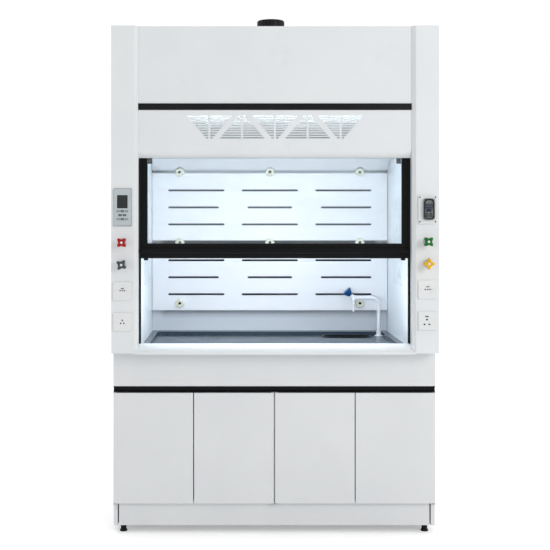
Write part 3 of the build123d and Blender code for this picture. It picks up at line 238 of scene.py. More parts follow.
def edgeMask(tree, radius, strength):
    # how far the rounded normal leans from the true one: near zero on flats, high along edges
    bevel = node(tree, "ShaderNodeBevel", samples=4)
    bevel.inputs["Radius"].default_value = radius
    geometry = node(tree, "ShaderNodeNewGeometry")
    dot = node(tree, "ShaderNodeVectorMath", operation="DOT_PRODUCT")
    tree.links.new(bevel.outputs["Normal"], dot.inputs[0])
    tree.links.new(geometry.outputs["Normal"], dot.inputs[1])
    return remap(tree, dot.outputs["Value"], strength, 0.0, 0.80, 0.995)


def finish(name, values):  # cloudy colour, fine grain in roughness and relief, edges mixed towards an edge colour: wear, and where that colour is lighter also a painted edge highlight
    material, tree, shader = shaderTree(name)
    place = node(tree, "ShaderNodeTexCoord").outputs["Object"]
    stretch = values.get("stretch", (1, 1, 1))
    cloud = noiseFrom(tree, place, values.get("cloudScale", 3.0), 4.0)
    colour = mixColours(tree, remap(tree, cloud, 0.0, 1.0), values["colour"], values["shade"])
    grain = noiseFrom(tree, place, values.get("grainScale", 600.0), 2.0, 0.5, stretch)
    if values.get("speckle"):
        fleck = noiseFrom(tree, place, values["speckleScale"], 2.0, 0.6)
        colour = mixColours(tree, remap(tree, fleck, 0.0, values["speckle"], 0.56, 0.66), colour, values["fleck"])
    if values.get("grainTint"):
        colour = mixColours(tree, remap(tree, grain, 0.0, values["grainTint"]), colour, values["shade"])
    if values.get("shadow"):  # darker between two heights and within a half width, faded at its borders
        split = node(tree, "ShaderNodeSeparateXYZ")
        tree.links.new(place, split.inputs[0])
        side = node(tree, "ShaderNodeMath", operation="ABSOLUTE")
        tree.links.new(split.outputs["X"], side.inputs[0])
        rise = remap(tree, split.outputs["Z"], 0.0, 1.0, *values["shadow"]["from"])
        fall = remap(tree, split.outputs["Z"], 1.0, 0.0, *values["shadow"]["to"])
        within = remap(tree, side.outputs[0], 1.0, 0.0, *values["shadow"]["half"])
        both = node(tree, "ShaderNodeMath", operation="MULTIPLY")
        tree.links.new(rise, both.inputs[0])
        tree.links.new(fall, both.inputs[1])
        patch = node(tree, "ShaderNodeMath", operation="MULTIPLY")
        tree.links.new(both.outputs[0], patch.inputs[0])
        tree.links.new(within, patch.inputs[1])
        colour = mixColours(tree, patch.outputs[0], colour, values["shadow"]["colour"])
    # edge mix broken up by noise: a lighter edge colour is partly wear, partly a painted edge highlight; a darker
    # one only darkens the edges
    if values.get("edgeMix"):
        edgeBreakup = noiseFrom(tree, place, 38.0, 3.0, 0.7)
        mask = node(tree, "ShaderNodeMath", operation="MULTIPLY")
        tree.links.new(edgeMask(tree, values.get("wearWidth", 0.0014), values["edgeMix"]), mask.inputs[0])
        tree.links.new(remap(tree, edgeBreakup, 0.25, 1.0, 0.38, 0.62), mask.inputs[1])
        colour = mixColours(tree, mask.outputs[0], colour, values["edgeMixColour"])
    tree.links.new(colour, shader.inputs["Base Color"])
    smear = noiseFrom(tree, place, values.get("smearScale", 9.0), 5.0, 0.6)
    low, high = values["roughness"]
    blend = node(tree, "ShaderNodeMath", operation="ADD")
    tree.links.new(remap(tree, smear, low, high), blend.inputs[0])
    tree.links.new(remap(tree, grain, -0.03, 0.03), blend.inputs[1])
    tree.links.new(blend.outputs[0], shader.inputs["Roughness"])
    bump = node(tree, "ShaderNodeBump")
    bump.inputs["Strength"].default_value = values.get("relief", 0.15)
    bump.inputs["Distance"].default_value = values.get("reliefDepth", 0.0003)
    tree.links.new(grain, bump.inputs["Height"])
    tree.links.new(bump.outputs[0], shader.inputs["Normal"])
    shader.inputs["Metallic"].default_value = values.get("metallic", 0.0)
    shader.inputs["Coat Weight"].default_value = values.get("coat", 0.0)
    shader.inputs["Coat Roughness"].default_value = 0.12
    shader.inputs["Specular IOR Level"].default_value = values.get("specular", 0.5)
    return material


def clearMaterial(name, values):  # mostly see-through, with a tint, faint wiping marks and a fresnel shine
    material, tree, shader = shaderTree(name)
    place = node(tree, "ShaderNodeTexCoord").outputs["Object"]
    wipe = noiseFrom(tree, place, 5.0, 5.0, 0.65, (1.0, 1.0, 2.5))
    colour = mixColours(tree, remap(tree, wipe, 0.0, 1.0), values["colour"], values["shade"])
    tree.links.new(colour, shader.inputs["Base Color"])
    tree.links.new(remap(tree, wipe, *values["roughness"]), shader.inputs["Roughness"])
    shine = node(tree, "ShaderNodeFresnel")
    shine.inputs["IOR"].default_value = 1.5
    total = node(tree, "ShaderNodeMath", operation="ADD", use_clamp=True)
    tree.links.new(remap(tree, wipe, *values["veil"]), total.inputs[0])
    tree.links.new(shine.outputs[0], total.inputs[1])
    tree.links.new(total.outputs[0], shader.inputs["Alpha"])
    shader.inputs["Specular IOR Level"].default_value = 0.7
    return material


def glowMaterial(name, values):  # lit frosted surface
    material, tree, shader = shaderTree(name)
    place = node(tree, "ShaderNodeTexCoord").outputs["Object"]
    frost = noiseFrom(tree, place, 220.0, 3.0)
    colour = mixColours(tree, remap(tree, frost, 0.0, 1.0), values["colour"], values["shade"])
    tree.links.new(colour, shader.inputs["Base Color"])
    tree.links.new(colour, shader.inputs["Emission Color"])
    tree.links.new(remap(tree, frost, 0.35, 0.6), shader.inputs["Roughness"])
    shader.inputs["Emission Strength"].default_value = values["strength"]
    return material


# where an edge mix colour below is lighter than the finish, the edge mix is partly a painted edge highlight and
# partly wear; where it is darker it only darkens the edges
powderCoat = finish("powderCoat", {
    "colour": (0.80, 0.82, 0.83), "shade": (0.76, 0.785, 0.80), "grainScale": 900.0, "roughness": (0.27, 0.38),
    "relief": 0.10, "coat": 0.15, "edgeMix": 0.30, "edgeMixColour": (0.90, 0.91, 0.92)})
coatedBoard = finish("coatedBoard", {
    "colour": (0.77, 0.785, 0.795), "shade": (0.735, 0.75, 0.765), "grainScale": 1400.0, "roughness": (0.30, 0.42),
    "relief": 0.06, "edgeMix": 0.25, "edgeMixColour": (0.86, 0.87, 0.87)})
chamberLining = finish("chamberLining", {
    "colour": (0.87, 0.92, 0.95), "shade": (0.84, 0.895, 0.935), "grainScale": 1100.0, "roughness": (0.30, 0.45),
    "relief": 0.06, "edgeMix": 0.2, "edgeMixColour": (0.70, 0.76, 0.80)})
lowerEdge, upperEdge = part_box("baffle_lower")[0].z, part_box("baffle_upper")[1].z
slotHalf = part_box("baffle_upper")[1].x
# access covers: a darker copy of the chamber lining, painted shade that sets them off from the walls; their lighter
# edges are partly a painted highlight
coverLiningShaded = finish("coverLiningShaded", {
    "colour": (0.80, 0.85, 0.885), "shade": (0.77, 0.825, 0.87), "grainScale": 1100.0, "roughness": (0.26, 0.38),
    "relief": 0.06, "edgeMix": 0.3, "edgeMixColour": (0.92, 0.95, 0.97)})
# rear liner: a slightly darker, bluer copy of the chamber lining as painted shade, with a painted shadow on the wall
# behind the baffles and their slots
rearLiningShaded = finish("rearLiningShaded", {
    "colour": (0.84, 0.895, 0.96), "shade": (0.80, 0.86, 0.93), "grainScale": 1100.0, "roughness": (0.30, 0.45),
    "relief": 0.06, "edgeMix": 0.2, "edgeMixColour": (0.55, 0.6, 0.66),
    "shadow": {"from": (lowerEdge - 0.05, lowerEdge + 0.05), "to": (upperEdge - 0.06, upperEdge - 0.02),
               "half": (slotHalf - 0.06, slotHalf - 0.03), "colour": (0.035, 0.050, 0.090)}})
whitePolymer = finish("whitePolymer", {
    "colour": (0.87, 0.885, 0.915), "shade": (0.84, 0.86, 0.895), "grainScale": 1500.0, "roughness": (0.32, 0.46),
    "relief": 0.08, "edgeMix": 0.2, "edgeMixColour": (0.72, 0.78, 0.82)})
creamPolymer = finish("creamPolymer", {
    "colour": (0.83, 0.84, 0.70), "shade": (0.78, 0.79, 0.64), "grainScale": 1500.0, "roughness": (0.32, 0.46),
    "relief": 0.08, "edgeMix": 0.3, "edgeMixColour": (0.60, 0.60, 0.50)})
blackPolymer = finish("blackPolymer", {
    "colour": (0.005, 0.0055, 0.006), "shade": (0.009, 0.0095, 0.010), "grainScale": 1600.0,
    "roughness": (0.30, 0.44), "relief": 0.15, "specular": 0.2, "edgeMix": 0.4, "edgeMixColour": (0.04, 0.04, 0.045)})
blackAnodised = finish("blackAnodised", {
    "colour": (0.004, 0.0045, 0.005), "shade": (0.006, 0.0065, 0.007), "grainScale": 1500.0,
    "roughness": (0.30, 0.38), "relief": 0.08, "specular": 0.14, "edgeMix": 0.35, "edgeMixColour": (0.05, 0.05, 0.055)})
resinTop = finish("resinTop", {
    "colour": (0.043, 0.063, 0.088), "shade": (0.051, 0.073, 0.100), "grainScale": 800.0, "roughness": (0.15, 0.23),
    "relief": 0.03, "specular": 0.22, "speckle": 0.35, "speckleScale": 420.0, "fleck": (0.07, 0.10, 0.13),
    "edgeMix": 0.45, "edgeMixColour": (0.25, 0.32, 0.40)})
brushedSteel = finish("brushedSteel", {
    "colour": (0.55, 0.56, 0.57), "shade": (0.46, 0.47, 0.48), "grainScale": 900.0, "stretch": (0.04, 1, 1),
    "grainTint": 0.5, "roughness": (0.24, 0.36), "relief": 0.25, "metallic": 1.0, "edgeMix": 0.3,
    "edgeMixColour": (0.75, 0.75, 0.76)})
valveCoat = finish("valveCoat", {
    "colour": (0.55, 0.58, 0.59), "shade": (0.47, 0.50, 0.52), "grainScale": 900.0, "roughness": (0.28, 0.4),
    "relief": 0.12, "metallic": 0.35, "edgeMix": 0.4, "edgeMixColour": (0.75, 0.72, 0.60)})
bezelGrey = finish("bezelGrey", {
    "colour": (0.49, 0.55, 0.57), "shade": (0.45, 0.51, 0.53), "grainScale": 2200.0, "roughness": (0.3, 0.42),
    "relief": 0.2, "edgeMix": 0.35, "edgeMixColour": (0.55, 0.60, 0.62)})
keyDark = finish("keyDark", {
    "colour": (0.045, 0.055, 0.06), "shade": (0.06, 0.07, 0.075), "grainScale": 2500.0, "roughness": (0.45, 0.6),
    "relief": 0.25, "edgeMix": 0.4, "edgeMixColour": (0.3, 0.33, 0.34)})
keyMiddle = finish("keyMiddle", {
    "colour": (0.24, 0.28, 0.29), "shade": (0.27, 0.31, 0.32), "grainScale": 2500.0, "roughness": (0.45, 0.6),
    "relief": 0.25, "edgeMix": 0.4, "edgeMixColour": (0.4, 0.43, 0.44)})
markPale = finish("markPale", {
    "colour": (0.62, 0.66, 0.68), "shade": (0.55, 0.60, 0.62), "grainScale": 2500.0, "roughness": (0.4, 0.5)})
screenBlack = finish("screenBlack", {
    "colour": (0.010, 0.014, 0.015), "shade": (0.014, 0.019, 0.020), "grainScale": 400.0, "roughness": (0.05, 0.10),
    "relief": 0.01, "coat": 0.5})
outletWhite = finish("outletWhite", {
    "colour": (0.80, 0.81, 0.81), "shade": (0.76, 0.775, 0.78), "grainScale": 1800.0, "roughness": (0.2, 0.3),
    "relief": 0.05, "coat": 0.2, "edgeMix": 0.3, "edgeMixColour": (0.84, 0.86, 0.87)})
moduleGrey = finish("moduleGrey", {
    "colour": (0.20, 0.23, 0.26), "shade": (0.16, 0.19, 0.22), "grainScale": 1800.0, "roughness": (0.35, 0.5),
    "relief": 0.15, "edgeMix": 0.3, "edgeMixColour": (0.4, 0.43, 0.46)})
toggleBlue = finish("toggleBlue", {
    "colour": (0.015, 0.05, 0.30), "shade": (0.02, 0.065, 0.35), "grainScale": 1800.0, "roughness": (0.3, 0.42),
    "relief": 0.1, "edgeMix": 0.3, "edgeMixColour": (0.15, 0.28, 0.5)})


# knob edges mix towards a lighter colour: wear and a painted edge highlight
def knobFinish(name, colour, knobEdgeColour):
    shade = tuple(0.78 * value for value in colour)
    return finish(name, {"colour": colour, "shade": shade, "grainScale": 1500.0, "cloudScale": 30.0,
                         "roughness": (0.24, 0.36), "relief": 0.06, "specular": 0.3, "edgeMix": 0.3,
                         "edgeMixColour": knobEdgeColour})


knobFinishes = {
    "red": knobFinish("knobRed", (0.42, 0.002, 0.004), (0.70, 0.10, 0.09)),
    "grey": knobFinish("knobGrey", (0.065, 0.082, 0.088), (0.22, 0.25, 0.27)),
    "green": knobFinish("knobGreen", (0.002, 0.17, 0.012), (0.08, 0.40, 0.16)),
    "yellow": knobFinish("knobYellow", (0.90, 0.49, 0.004), (0.90, 0.62, 0.12)),
    "blue": knobFinish("knobBlue", (0.001, 0.075, 0.27), (0.05, 0.24, 0.56)),
}
sashGlass = clearMaterial("sashGlass", {
    "colour": (0.80, 0.92, 0.95), "shade": (0.90, 0.96, 0.98), "roughness": (0.02, 0.07), "veil": (0.03, 0.07)})
smokedCover = clearMaterial("smokedCover", {
    "colour": (0.06, 0.07, 0.085), "shade": (0.09, 0.10, 0.115), "roughness": (0.05, 0.12), "veil": (0.12, 0.17)})
lampFrost = glowMaterial("lampFrost", {"colour": (0.92, 0.98, 1.0), "shade": (0.85, 0.94, 1.0), "strength": 0.9})
lampTube = glowMaterial("lampTube", {"colour": (0.95, 0.99, 1.0), "shade": (0.90, 0.97, 1.0), "strength": 6.0})
print("stage: materials made")


finished = {  # node: (edge rounding in mm, material, body, record slot)
    "base_carcass": (0.0, coatedBoard, "cabinet", "coated_board"),
    "kick_plate": (1.0, coatedBoard, "cabinet", "coated_board"),
    "fascia_panel": (1.2, coatedBoard, "cabinet", "coated_board"),
    "pull_rail": (0.5, blackAnodised, "cabinet", "black_aluminium"),
    "worktop": (2.2, resinTop, "cabinet", "worktop"),
    "post_left": (0.45, powderCoat, "cabinet", "powder_coat"),
    "post_right": (0.45, powderCoat, "cabinet", "powder_coat"),
    "outer_panels": (0.0, powderCoat, "cabinet", "powder_coat"),
    "chamber_walls": (0.8, chamberLining, "cabinet", "liner"),
    "access_covers": (1.2, coverLiningShaded, "cabinet", "liner"),
    "ceiling_liner": (0.4, powderCoat, "cabinet", "powder_coat"),
    "header_upper": (0.5, powderCoat, "cabinet", "powder_coat"),
    "header_lower": (0.35, powderCoat, "cabinet", "powder_coat"),
    "header_trim": (1.0, blackPolymer, "cabinet", "black_plastic"),
    "sill": (0.8, powderCoat, "cabinet", "powder_coat"),
    "sash_tracks": (0.4, blackPolymer, "cabinet", "black_plastic"),
    "baffle_upper": (0.8, whitePolymer, "cabinet", "white_pp"),
    "baffle_lower": (0.8, whitePolymer, "cabinet", "white_pp"),
    "baffle_top": (0.8, whitePolymer, "cabinet", "white_pp"),
    "sash_frame": (1.2, blackAnodised, "sash", "black_aluminium"),
    "counterweight": (2.0, brushedSteel, "counterweight", "steel"),
    "controller_bezel": (0.7, bezelGrey, "cabinet", "bezel"),
    "breaker_cover": (0.6, smokedCover, "breaker_cover", "smoked_plastic"),
    "breaker_toggle": (0.6, keyDark, "breaker_toggle", "toggle"),
    "socket_outlets": (0.5, outletWhite, "cabinet", "white_plastic"),
    "pulley_brackets": (0.4, brushedSteel, "cabinet", "steel"),
}
for number in range(1, 5):
    finished[f"door_{number}"] = (1.2, coatedBoard, f"door_{number}", "coated_board")
for number in range(1, 9):
    keyMaterial = keyMiddle if number in (1, 3, 6, 8) else keyDark
    finished[f"controller_key_{number}"] = (0.5, keyMaterial, f"key_{number}", "key")
for nodeName, (width, material, body, slotName) in finished.items():
    settle(finishNode(nodeName, width), material, body, slotName, nodeName)


def solidBoxes(nodeName):
    # low and high corners of every separate solid of a CAD node: each point takes the smallest label it is joined to
    source = frame["nodes"][nodeName]
    mesh = source.data
    points = np.empty(3 * len(mesh.vertices))
    mesh.vertices.foreach_get("co", points)
    turn = np.array(source.matrix_world)
    points = points.reshape(-1, 3) @ turn[:3, :3].T + turn[:3, 3]
    same = np.unique(np.round(points, 5), axis=0, return_inverse=True)[1].reshape(-1)
    edges = np.empty(2 * len(mesh.edges), np.int32)
    mesh.edges.foreach_get("vertices", edges)
    edges = same[edges].reshape(-1, 2)
    label = np.arange(same.max() + 1)
    changed = True
    while changed:
        lowest = label.copy()
        joined = np.minimum(label[edges[:, 0]], label[edges[:, 1]])
        np.minimum.at(lowest, edges[:, 0], joined)
        np.minimum.at(lowest, edges[:, 1], joined)
        lowest = lowest[lowest]
        changed = bool((lowest != label).any())
        label = lowest
    group = label[same]
    return [(points[group == g].min(axis=0), points[group == g].max(axis=0)) for g in np.unique(group)]


def splitMaterial(pieceName, material, chosen):  # faces whose centre and normal satisfy the test take the material
    mesh = bpy.data.objects[pieceName].data
    mesh.materials.append(material)
    centres = np.empty(3 * len(mesh.polygons))
    mesh.polygons.foreach_get("center", centres)
    index = np.where(chosen(centres.reshape(-1, 3)), len(mesh.materials) - 1, 0)
    mesh.polygons.foreach_set("material_index", index.astype(np.int32))


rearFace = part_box("chamber_walls")[1].y - 6 * mm
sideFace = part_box("chamber_walls")[1].x - 6 * mm
# the rear wall faces take the shaded rear liner with its painted shadow
splitMaterial("finished_chamber_walls", rearLiningShaded, lambda c: (c[:, 1] > rearFace) & (np.abs(c[:, 0]) < sideFace))
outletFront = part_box("socket_outlets")[0].y
outletMiddles = np.array([(low + high) / 2 for low, high in solidBoxes("socket_outlets")])


def insideContact(c):  # sunk walls and floors of the contact openings
    across = np.abs(c[:, None, 0] - outletMiddles[:, 0])
    up = np.abs(c[:, None, 2] - outletMiddles[:, 2])
    near = ((across < 25 * mm) & (up < 25 * mm)).any(axis=1)
    return near & (c[:, 1] > outletFront + 2.1 * mm) & (c[:, 1] < outletFront + 11.5 * mm)


# the contact openings' sunk walls and floors take black: painted shade in the recesses
splitMaterial("finished_socket_outlets", blackPolymer, insideContact)

kept = {  # node: material on the CAD mesh itself
    "door_pivots": brushedSteel, "controller_screen": screenBlack, "lamp_window": lampFrost,
    "sash_glass": sashGlass, "sash_cables_top": brushedSteel, "breaker_box": outletWhite,
}
for nodeName, material in kept.items():
    target = frame["nodes"][nodeName]
    target.data.materials.clear()
    target.data.materials.append(material)
print("stage: panels finished")


collarValues = {"ribs": 28, "ribDepth": 2.1, "bolts": 8, "boltCircle": 137.0}


def makeCollar():
    # r = radius(row) + ribDepth(row) * s(a), where s is a clipped cosine with one crest per rib
    low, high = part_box("exhaust_collar")
    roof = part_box("outer_panels")[1].z
    centre = ((low.x + high.x) / 2, (low.y + high.y) / 2, 0.0)
    base, top, sleeve = roof / mm, high.z / mm, low.z / mm
    rib = collarValues["ribDepth"]
    profile = [
        (117.5, sleeve, 0), (121.5, sleeve, 0), (121.5, base, 0), (149.0, base, 0), (150.0, base + 1, 0),
        (150.0, base + 3, 0), (149.0, base + 4, 0), (126.0, base + 4, 0), (122.5, base + 5.5, 0),
        (119.5, base + 9, 0), (72.0, base + 61, 0), (68.4, base + 67, 0), (67.6, base + 72, 0),
        (67.6, base + 73, rib), (67.6, top - 4, rib), (67.6, top - 3, 0), (67.2, top - 1, 0), (66.4, top, 0),
        (65.4, top, 0), (65.0, top - 1, 0), (65.0, base + 66, 0), (117.5, base + 4, 0)]
    grid = turnedGrid(profile, collarValues["ribs"] * 10,
                      lambda angle: np.clip(np.cos(collarValues["ribs"] * angle) * 2.4 + 0.6, 0, 1))
    collar = placedCopies("exhaust_spigot", grid, [centre], wrapRows=True)
    settle(collar, blackPolymer, "cabinet", "black_plastic", "exhaust_collar")
    angle = (np.arange(collarValues["bolts"]) + 0.5) * 2 * math.pi / collarValues["bolts"]
    circle = collarValues["boltCircle"] * mm
    places = np.stack([centre[0] + circle * np.cos(angle), centre[1] + circle * np.sin(angle),
                       np.full(len(angle), (base + 4) * mm)], axis=1)
    head = [(0, 0), (7.5, 0), (7.5, 1.2), (5.4, 1.3), (5.4, 1.4), (5.2, 5.2), (4.6, 5.8), (0, 5.8)]
    bolts = placedCopies("collar_bolts", turnedGrid(head, 24), places)
    settle(bolts, brushedSteel, "cabinet", "steel")


makeCollar()


def makeLegs():
    low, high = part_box("levelling_legs")
    inset = 17.5 * mm
    places = [(x, y, 0.0) for x in (low.x + inset, high.x - inset) for y in (low.y + inset, high.y - inset)]
    thread = np.arange(13.0, 30.0, 1.0)
    ring = np.where(np.arange(len(thread)) % 2 == 0, 12.2, 13.6)
    top = 136.0
    profile = [(0, 0), (15.5, 0), (17.0, 0.6), (17.5, 2), (17.5, 7), (16.8, 8), (13.0, 10.5), (12.2, 12)]
    profile += list(zip(ring, thread))
    profile += [(14.0, 31), (14.0, 120), (16.2, 124), (16.5, top - 1), (16.0, top), (0, top)]
    legs = placedCopies("screw_legs", turnedGrid(profile, 40), places)
    settle(legs, blackPolymer, "cabinet", "black_plastic", "levelling_legs")


makeLegs()


sinkValues = {"columns": 160, "strainerBars": 5, "square": 3.2}


def makeSink():
    # x = a sgn(c)|c|^(2/n), y = b sgn(s)|s|^(2/n) with n(row): rings from the waste tail up over the rim and back
    low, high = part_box("cup_sink")
    centre = np.array([(low.x + high.x) / 2, (low.y + high.y) / 2, 0.0])
    a, b = (high.x - low.x) / 2 / mm, (high.y - low.y) / 2 / mm
    rim, tail = high.z / mm, low.z / mm
    floor = tail + 45
    rows = np.array([
        (17, 17, tail), (17, 17, floor + 2), (20, 20, floor + 4), (a - 24, b - 24, floor + 6),
        (a - 17, b - 17, floor + 9), (a - 14, b - 14, floor + 16), (a - 13, b - 13, floor + 30),
        (a - 12, b - 12, rim - 8), (a - 10.5, b - 10.5, rim - 3), (a - 8, b - 8, rim - 0.6), (a - 5.5, b - 5.5, rim),
        (a - 2, b - 2, rim - 0.4), (a - 0.4, b - 0.4, rim - 1.6), (a, b, rim - 3), (a, b, rim - 4),
        (a - 9, b - 9, rim - 4), (a - 9, b - 9, floor + 20), (a - 12, b - 12, floor + 4), (a - 22, b - 22, floor),
        (20, 20, floor), (20, 20, tail)]) * mm
    angle = np.linspace(0, 2 * math.pi, sinkValues["columns"], endpoint=False)
    power = np.where(rows[:, :1] > 25 * mm, 2 / sinkValues["square"], 1.0)
    points = np.stack([rows[:, :1] * np.sign(np.cos(angle)) * np.abs(np.cos(angle)) ** power,
                       rows[:, 1:2] * np.sign(np.sin(angle)) * np.abs(np.sin(angle)) ** power,
                       rows[:, 2:] * np.ones(len(angle))], axis=-1)
    sink = placedCopies("oval_cup_sink", points, [centre], wrapRows=True)
    settle(sink, blackPolymer, "cabinet", "black_plastic", "cup_sink")
    count = sinkValues["strainerBars"]
    offsets = (np.arange(count) - (count - 1) / 2) * 6.5 * mm
    bars = []
    for offset in offsets:
        half = math.sqrt(max((17 * mm) ** 2 - offset ** 2, 1e-6))
        bars.append(((centre[0] + offset - 1 * mm, centre[1] - half, floor * mm + 1 * mm),
                     (centre[0] + offset + 1 * mm, centre[1] + half, floor * mm + 3 * mm)))
    settle(blocks("sink_strainer", bars, 0.4 * mm), brushedSteel, "cabinet", "steel")


makeSink()


def makeBaffleNuts():
    # r = radius(row) + lobe(row) * cos(8 a); behind each nut a plain spacer on its stud
    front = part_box("baffle_upper")[0].y
    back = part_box("baffle_upper")[1].y
    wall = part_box("chamber_walls")[1].y - 5 * mm
    middles = [(low + high) / 2 for low, high in solidBoxes("baffle_knobs") if high[0] - low[0] > 30 * mm]
    places = [(middle[0], front, middle[2]) for middle in middles]
    nut = [(0, 0, 0), (20.5, 0, 2.0), (22.2, 0.8, 2.6), (22.6, 3, 2.6), (22.4, 8.5, 2.6), (21.0, 11.2, 2.2),
           (18.0, 12.6, 1.4), (12.5, 13.4, 0.4), (10.5, 13.4, 0), (9.6, 12.6, 0), (9.4, 11.8, 0), (0, 11.8, 0)]
    grid = turnedGrid(nut, 128, lambda angle: np.cos(8 * angle))
    nuts = placedCopies("baffle_nuts", grid, places, (0, -1, 0))
    settle(nuts, creamPolymer, "cabinet", "white_pp", "baffle_knobs")
    screw = [(0, 11.0), (6.2, 11.0), (6.4, 11.8), (6.2, 14.2), (5.4, 15.2), (3.6, 15.8), (2.6, 15.2), (0, 15.0)]
    settle(placedCopies("baffle_screws", turnedGrid(screw, 28), places, (0, -1, 0)), blackPolymer, "cabinet",
           "black_plastic")
    length = (wall - back) / mm
    spacer = [(0, 0), (8.2, 0), (9, 0.8), (9, length - 0.8), (8.2, length), (0, length)]
    backs = [(x, back, z) for x, y, z in places]
    settle(placedCopies("baffle_spacers", turnedGrid(spacer, 32), backs, (0, 1, 0)), whitePolymer, "cabinet",
           "white_pp")


makeBaffleNuts()


valveValues = {
    "red": {"node": "valve_knob_red", "turn": 45.0}, "grey": {"node": "valve_knob_grey", "turn": 55.0},
    "green": {"node": "valve_knob_green", "turn": 45.0}, "yellow": {"node": "valve_knob_yellow", "turn": 0.0},
}


def makeValves():
    # r = radius(row) + lobe(row) * ((1 + cos 4(a - turn)) / 2) ^ 1.5, plus a domed white cap
    centres = []
    for colour, values in valveValues.items():
        low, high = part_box(values["node"])
        centre = ((low.x + high.x) / 2, frontY, (low.z + high.z) / 2)
        centres.append(centre)
        turn = math.radians(values["turn"])
        rows = [(0, 31, 0), (9.0, 31, 2.0), (13.8, 31, 9.0), (14.8, 31.8, 10.0), (15.2, 33.4, 10.6),
                (15.2, 51.0, 10.6), (14.8, 53.0, 10.3), (13.4, 54.4, 9.4), (10.8, 55.0, 6.4), (7.4, 54.7, 1.6),
                (6.3, 53.8, 0.3), (6.0, 52.6, 0), (0, 52.6, 0)]
        grid = turnedGrid(rows, 144, lambda angle: ((1 + np.cos(4 * (angle - turn))) / 2) ** 1.5)
        knob = placedCopies(f"clover_knob_{colour}", grid, [centre], (0, -1, 0))
        settle(knob, knobFinishes[colour], f"valve_{colour}", f"knob_{colour}", values["node"])
        cap = [(0, 52.6), (5.7, 52.6), (5.7, 53.6), (5.2, 54.3), (4.0, 54.8), (2.2, 55.0), (0, 55.0)]
        settle(placedCopies(f"knob_cap_{colour}", turnedGrid(cap, 40), [centre], (0, -1, 0)), outletWhite,
               f"valve_{colour}", "white_plastic")
    bonnet = [(0, 0), (18.6, 0), (19, 0.8), (19, 2.2), (18.2, 3.8), (16.2, 4.8), (12.5, 5.2), (11.6, 5.6),
              (11.4, 7.0), (11.4, 12.5), (10.6, 13.4), (8.8, 13.8), (8.8, 24.2), (8.2, 25.4), (6.2, 26.0),
              (4.2, 26.2), (4.0, 31.0), (0, 31.0)]
    settle(placedCopies("valve_bonnets", turnedGrid(bonnet, 56), centres, (0, -1, 0)), valveCoat, "cabinet",
           "valve_brass", "valve_bodies")
    body = [(0, 0), (11, 0), (11, 38), (10, 40), (0, 40)]
    settle(placedCopies("valve_rears", turnedGrid(body, 40), centres, (0, 1, 0)), valveCoat, "cabinet",
           "valve_brass")
    tail = [(0, 0), (6.5, 0), (6.5, 43), (5.8, 45), (0, 45)]
    lows = [(x, y + 29 * mm, z) for x, y, z in centres]
    settle(placedCopies("valve_tails", turnedGrid(tail, 32), lows, (0, 0, -1)), valveCoat, "cabinet", "valve_brass")


makeValves()


tapValues = {"tube": 9.5, "bend": 40.0, "flutes": 12, "lean": 45.0, "narrow": 12.5, "wide": 26.0, "end": 55.0,
             "drop": 72.0}


